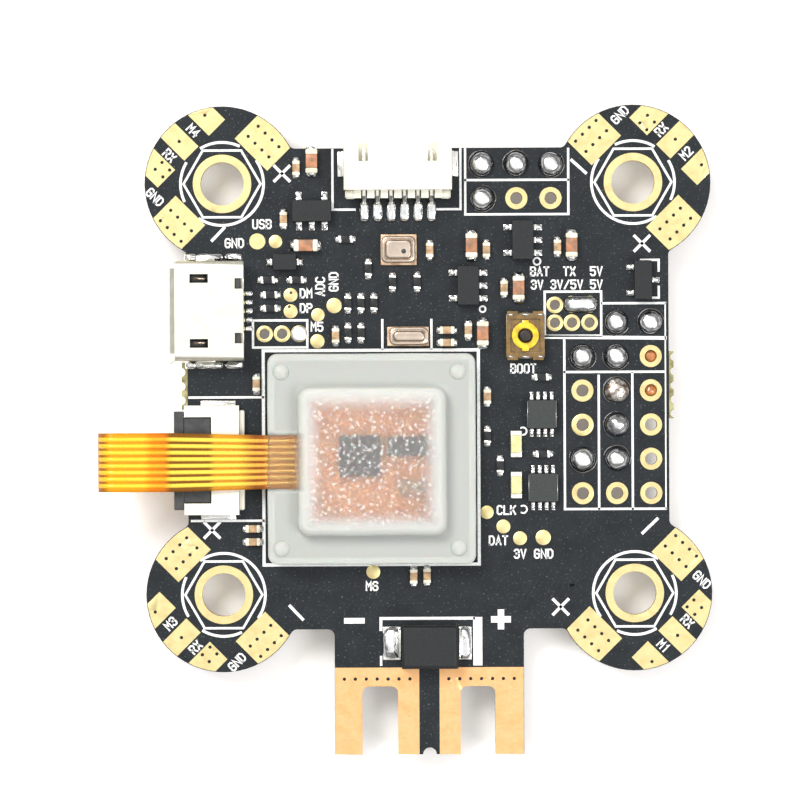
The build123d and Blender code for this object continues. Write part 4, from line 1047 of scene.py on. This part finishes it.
def make_pad_vias():
    """The plugged vias in two of the test pads."""
    bm = bmesh.new()
    for x, y in ((-10.17, 7.16), (-10.3, 6.12)):
        plug(bm, (x * MM, y * MM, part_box("test_pads")[1].z), 0.13, 0.1, 0.012, 20)
    on_board("test_pad_vias", bm, BLACK, "solder_mask_board")


def make_usb_latches():
    """Painted shade under the shell's windows, a black block that also stands for the insulator, with the
    leaf spring of each latch in front.
    """
    middle = middle_of(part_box("usb_shell")).y
    rows = (middle - 2.37 * MM, middle + 2.37 * MM)
    # black blocks just under the roof: painted shade inside the shell, partly the insulator
    dark = [((-16.9 * MM, y, 3.45 * MM), (0.95, 0.42, 0.18)) for y in rows]
    bright = [((-16.8 * MM, y + 0.02 * MM, 3.72 * MM), (0.5, 0.1, 0.03)) for y in rows]
    blocks("usb_insulator_and_painted_shade", BLACK, "black_moulding", dark)
    blocks("usb_latch_springs", LID, "plated_steel", bright)


def make_socket_edges():
    """The low ledge of the flat-flex housing over its contact tails, and the serial socket's end teeth."""
    low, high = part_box("flex_connector_housing")
    ledge = (high.x + 0.19 * MM, (low.y + high.y) / 2, BOARD_TOP + 0.45 * MM)
    finish_mesh(blocks("flex_connector_lip", CREAM, "cream_moulding", [(ledge, (0.22, 3.7, 0.25))]))
    low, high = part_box("uart_connector_housing")
    y, z = low.y + 0.28 * MM, BOARD_TOP + 1.55 * MM
    teeth = [(((low.x + high.x) / 2 + side * 3.52 * MM, y, z), (0.38, 0.33, 0.62)) for side in (-1, 1)]
    finish_mesh(blocks("uart_connector_end_teeth", CREAM, "cream_moulding", teeth, 0.25))


def make_button_lugs():
    """The plated lugs of the push button that show at the rim of its film."""
    middle = middle_of(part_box("boot_button_base"))
    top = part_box("boot_button_film")[1].z
    lugs = []
    for side in (-1, 1):
        for x, half in ((-1.1, 0.26), (0, 0.34), (1.1, 0.26)):
            spot = (middle.x + x * MM, middle.y + side * 1.56 * MM, top + 0.06 * MM)
            lugs.append((spot, (half, 0.12, 0.16)))
        lugs.append(((middle.x + side * 1.33 * MM, middle.y - 0.1 * MM, top), (0.06, 0.85, 0.14)))
    blocks("boot_button_lugs", TIN, "plated_steel", lugs, 0.5)


def make_level_shifter_edges():
    """A pale metal line at the two long ends of each eight-lead chip."""
    lines = []
    for low, high in islands("level_shifter_bodies"):
        half = (0.035, (high.y - low.y) / MM * 0.46, 0.05)
        lines += [((x, (low.y + high.y) / 2, high.z - 0.1 * MM), half) for x in (low.x, high.x)]
    blocks("level_shifter_pale_end_lines", FLAT_SOLDER, "chip_package", lines)


def make_hole_residue():
    """Copper-coloured flux left in two of the open holes."""
    bm = bmesh.new()
    for y in (2.33, -0.21):
        bottom = Vector((16.51 * MM, y * MM, BOARD_TOP - 0.5 * MM))
        mound(bm, bottom, (0.46 * MM, 0.46 * MM), 0.22 * MM, 3, 14, 0.3, disc=True)
    on_board("hole_residue", bm, COPPER_FLUX, "gold_plating")


make_button_lugs()
make_level_shifter_edges()
make_hole_residue()
make_lid("barometer_lid", BAROMETER_PORT)
make_lid("crystal_lid")
make_pad_vias()
make_usb_latches()
make_socket_edges()


# ---------------------------------------------------------------- soft-mounted sensor
FLANGE_HEIGHT = 0.8
POCKET_HALF_X, POCKET_HALF_Y, POCKET_HEIGHT = 5.1, 5.2, 1.5
# the flange's outline from below: how far inside the cover's own, corner radius, height
FLANGE_RIM = (
    (0.12, 0.6, 0.0), (0.0, 0.7, 0.12), (0.0, 0.7, FLANGE_HEIGHT - 0.16), (0.05, 0.66, FLANGE_HEIGHT - 0.05),
    (0.16, 0.6, FLANGE_HEIGHT),
)
# inward over the flange, then up the side of the raised middle: out from its side, up, corner radius
DOME_OUTLINE = (
    (1.0, 0.0, 1.2), (0.45, 0.0, 1.1), (0.22, 0.03, 1.0), (0.08, 0.12, 0.95), (0.02, 0.28, 0.9),
    (0.0, 0.62, 0.9), (-0.03, 1.0, 0.88), (-0.1, 1.2, 0.85), (-0.24, 1.33, 0.8), (-0.45, 1.385, 0.7),
    (-0.8, 1.4, 0.6),
)
PIPS_X, PIPS_Y = -4.37, -5.27
PIP_REACH_X, PIP_REACH_Y = 6.55, 6.525


def make_cover():
    """The moulded silicone cover: a flange, a soft-edged raised middle and a pip at each corner."""
    low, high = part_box("silicone_cover")
    middle = middle_of((low, high))
    half_x, half_y = (high.x - low.x) / 2, (high.y - low.y) / 2
    flange_top = low.z + FLANGE_HEIGHT * MM
    dome = Vector((DOME_X * MM, DOME_Y * MM))
    bm = bmesh.new()
    loops = []
    for share, radius, rise in ((0.5, 0.4, POCKET_HEIGHT), (1.0, 0.5, POCKET_HEIGHT), (1.0, 0.5, 0.0)):
        reach = (POCKET_HALF_X * share * MM, POCKET_HALF_Y * share * MM)
        loops.append(rounded_ring(bm, middle, *reach, radius * MM, low.z + rise * MM))
    for inset, radius, rise in FLANGE_RIM:
        reach = (half_x - inset * MM, half_y - inset * MM)
        loops.append(rounded_ring(bm, middle, *reach, radius * MM, low.z + rise * MM))
    for out, rise, radius in DOME_OUTLINE:
        half = (DOME_HALF + out) * MM
        loops.append(rounded_ring(bm, dome, half, half, radius * MM, flange_top + rise * MM))
    # the top sinks a hair towards its middle
    for share in (0.7, 0.5, 0.3, 0.12):
        half = (DOME_HALF - 0.8) * MM * share
        loops.append(rounded_ring(bm, dome, half, half, 0.5 * MM, high.z - 0.004 * MM * (1 - share)))
    skin(bm, loops)
    # the moulding is not perfectly flat or straight
    for vert in bm.verts:
        if flange_top - 0.3 * MM < vert.co.z < high.z - 0.05 * MM:
            probe = vert.co / (3.5 * MM)
            vert.co.x += 0.05 * MM * noise.noise(probe)
            vert.co.y += 0.05 * MM * noise.noise(probe + Vector((9, 0, 0)))
    cover = piece("silicone_cover_finished", bm, SILICONE)
    # the ribbon's way in
    slot = bmesh.new()
    ribbon = middle_of(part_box("flex_ribbon"))
    block(slot, Vector((low.x + 0.5 * MM, ribbon.y, low.z)), (4.5 * MM, 4.6 * MM, 1.0 * MM))
    cutter = piece("slot_cutter", slot)
    cut = cover.modifiers.new("slot", "BOOLEAN")
    cut.object = cutter
    cut.solver = "EXACT"
    place(finish_mesh(cover), "imu_pod", "silicone", "silicone_cover")
    bpy.data.objects.remove(cutter)
    pips = bmesh.new()
    for side_x in (-1, 1):
        for side_y in (-1, 1):
            x, y = PIPS_X + side_x * PIP_REACH_X, PIPS_Y + side_y * PIP_REACH_Y
            spot = Vector((x * MM, y * MM, flange_top - 0.03 * MM))
            mound(pips, spot, (0.62 * MM, 0.62 * MM), 0.36 * MM, 2.3, 18, 0.05, disc=True)
    place(piece("silicone_cover_pips", pips, SILICONE), "imu_pod", "silicone")


def make_foam_pad():
    """The foam under the sensor: open-celled, its sides drawn in a little between the faces."""
    low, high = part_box("foam_pad")
    middle = middle_of((low, high))
    bm = bmesh.new()
    block(bm, middle, high - low)
    bmesh.ops.subdivide_edges(bm, edges=bm.edges, cuts=26, use_grid_fill=True)
    for vert in bm.verts:
        # 0 halfway up, 1 at the upper and the lower face
        level = abs(vert.co.z - middle.z) / (high.z - middle.z)
        if level < 0.999:
            pores = 0.03 * MM * abs(noise.noise(vert.co / (0.3 * MM)))
            inward = Vector((middle.x - vert.co.x, middle.y - vert.co.y, 0)).normalized()
            vert.co += inward * (0.12 * MM * (1 - level * level) + pores)
    pad = piece("foam_pad_finished", bm, FOAM)
    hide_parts("foam_pad")
    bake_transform(pad)


# the ribbon's middle line, as x and z, and the radius of each of its bends
RIBBON_ROUTE = ((-8.95, 3.34), (-12.4, 3.34), (-19.4, 4.0), (-24.45, 4.35), (-24.45, 1.85), (-20.4, 2.2),
                (-16.2, 2.2))
RIBBON_BENDS = (9, 12, 1.15, 1.15, 8)
RIBBON_STEP = 0.16
# how wide it is at two places along X
RIBBON_WIDTHS = ((-19.0, 4.35), (-11.5, 3.95))
TRACK_PITCH = 0.49
TRACK_COUNT = 8
TRACK_HALF = 0.15


def ribbon_path():
    """Points and their normals along the ribbon, with every corner rounded."""
    points = [Vector(p) for p in RIBBON_ROUTE]
    path = [points[0]]
    for before, corner, after, radius in zip(points, points[1:], points[2:], RIBBON_BENDS):
        back, ahead = (before - corner).normalized(), (after - corner).normalized()
        half = back.angle(ahead) / 2
        reach = radius / math.tan(half)
        heart = corner + (back + ahead).normalized() * (radius / math.sin(half))
        first, last = corner + back * reach - heart, corner + ahead * reach - heart
        turn = first.angle_signed(last)
        count = max(3, int(radius * abs(turn) / RIBBON_STEP))
        for i in range(count + 1):
            path.append(heart + Matrix.Rotation(-turn * i / count, 2) @ first)
    path.append(points[-1])
    dense = [path[0]]
    for a, b in zip(path, path[1:]):
        count = max(1, int((b - a).length / 0.3))
        dense += [a.lerp(b, (i + 1) / count) for i in range(count)]
    normals = []
    for i in range(len(dense)):
        along = (dense[min(i + 1, len(dense) - 1)] - dense[max(i - 1, 0)]).normalized()
        normals.append(Vector((along.y, -along.x)))
    return dense, normals


def ribbon_width(x):
    (x0, w0), (x1, w1) = RIBBON_WIDTHS
    share = min(1.0, max(0.0, (x - x0) / (x1 - x0)))
    return w0 + (w1 - w0) * share


def ribbon_layer(name, bands, low, high, material):
    """A layer of the ribbon between two heights above its middle line.

    Each band has its two edges, as shares of the ribbon's width, and the number of faces between them.
    """
    path, normals = ribbon_path()
    bm = bmesh.new()
    for left, right, count in bands:
        across = [left + (right - left) * k / count for k in range(count + 1)]
        rings = []
        for p, n in zip(path, normals):
            width = ribbon_width(p.x)
            top, under = p + n * high, p + n * low
            ring = [(top.x, RIBBON_Y + width * share, top.y) for share in across]
            ring += [(under.x, RIBBON_Y + width * share, under.y) for share in reversed(across)]
            rings.append([bm.verts.new(Vector(point) * MM) for point in ring])
        skin(bm, rings)
    layer = piece(name, bm, material)
    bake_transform(layer)
    return layer


def make_ribbon():
    film = ribbon_layer("flex_ribbon_film", [(-0.5, 0.5, 18)], -0.045, 0.03, FILM)
    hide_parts("flex_ribbon")
    widest = RIBBON_WIDTHS[0][1]
    middles = [(k - (TRACK_COUNT - 1) / 2) * TRACK_PITCH for k in range(TRACK_COUNT)]
    bands = [((middle - TRACK_HALF) / widest, (middle + TRACK_HALF) / widest, 2) for middle in middles]
    ribbon_layer("flex_ribbon_tracks", bands, 0.025, 0.055, TRACK)


make_cover()
make_foam_pad()
make_ribbon()

bpy.context.view_layer.update()
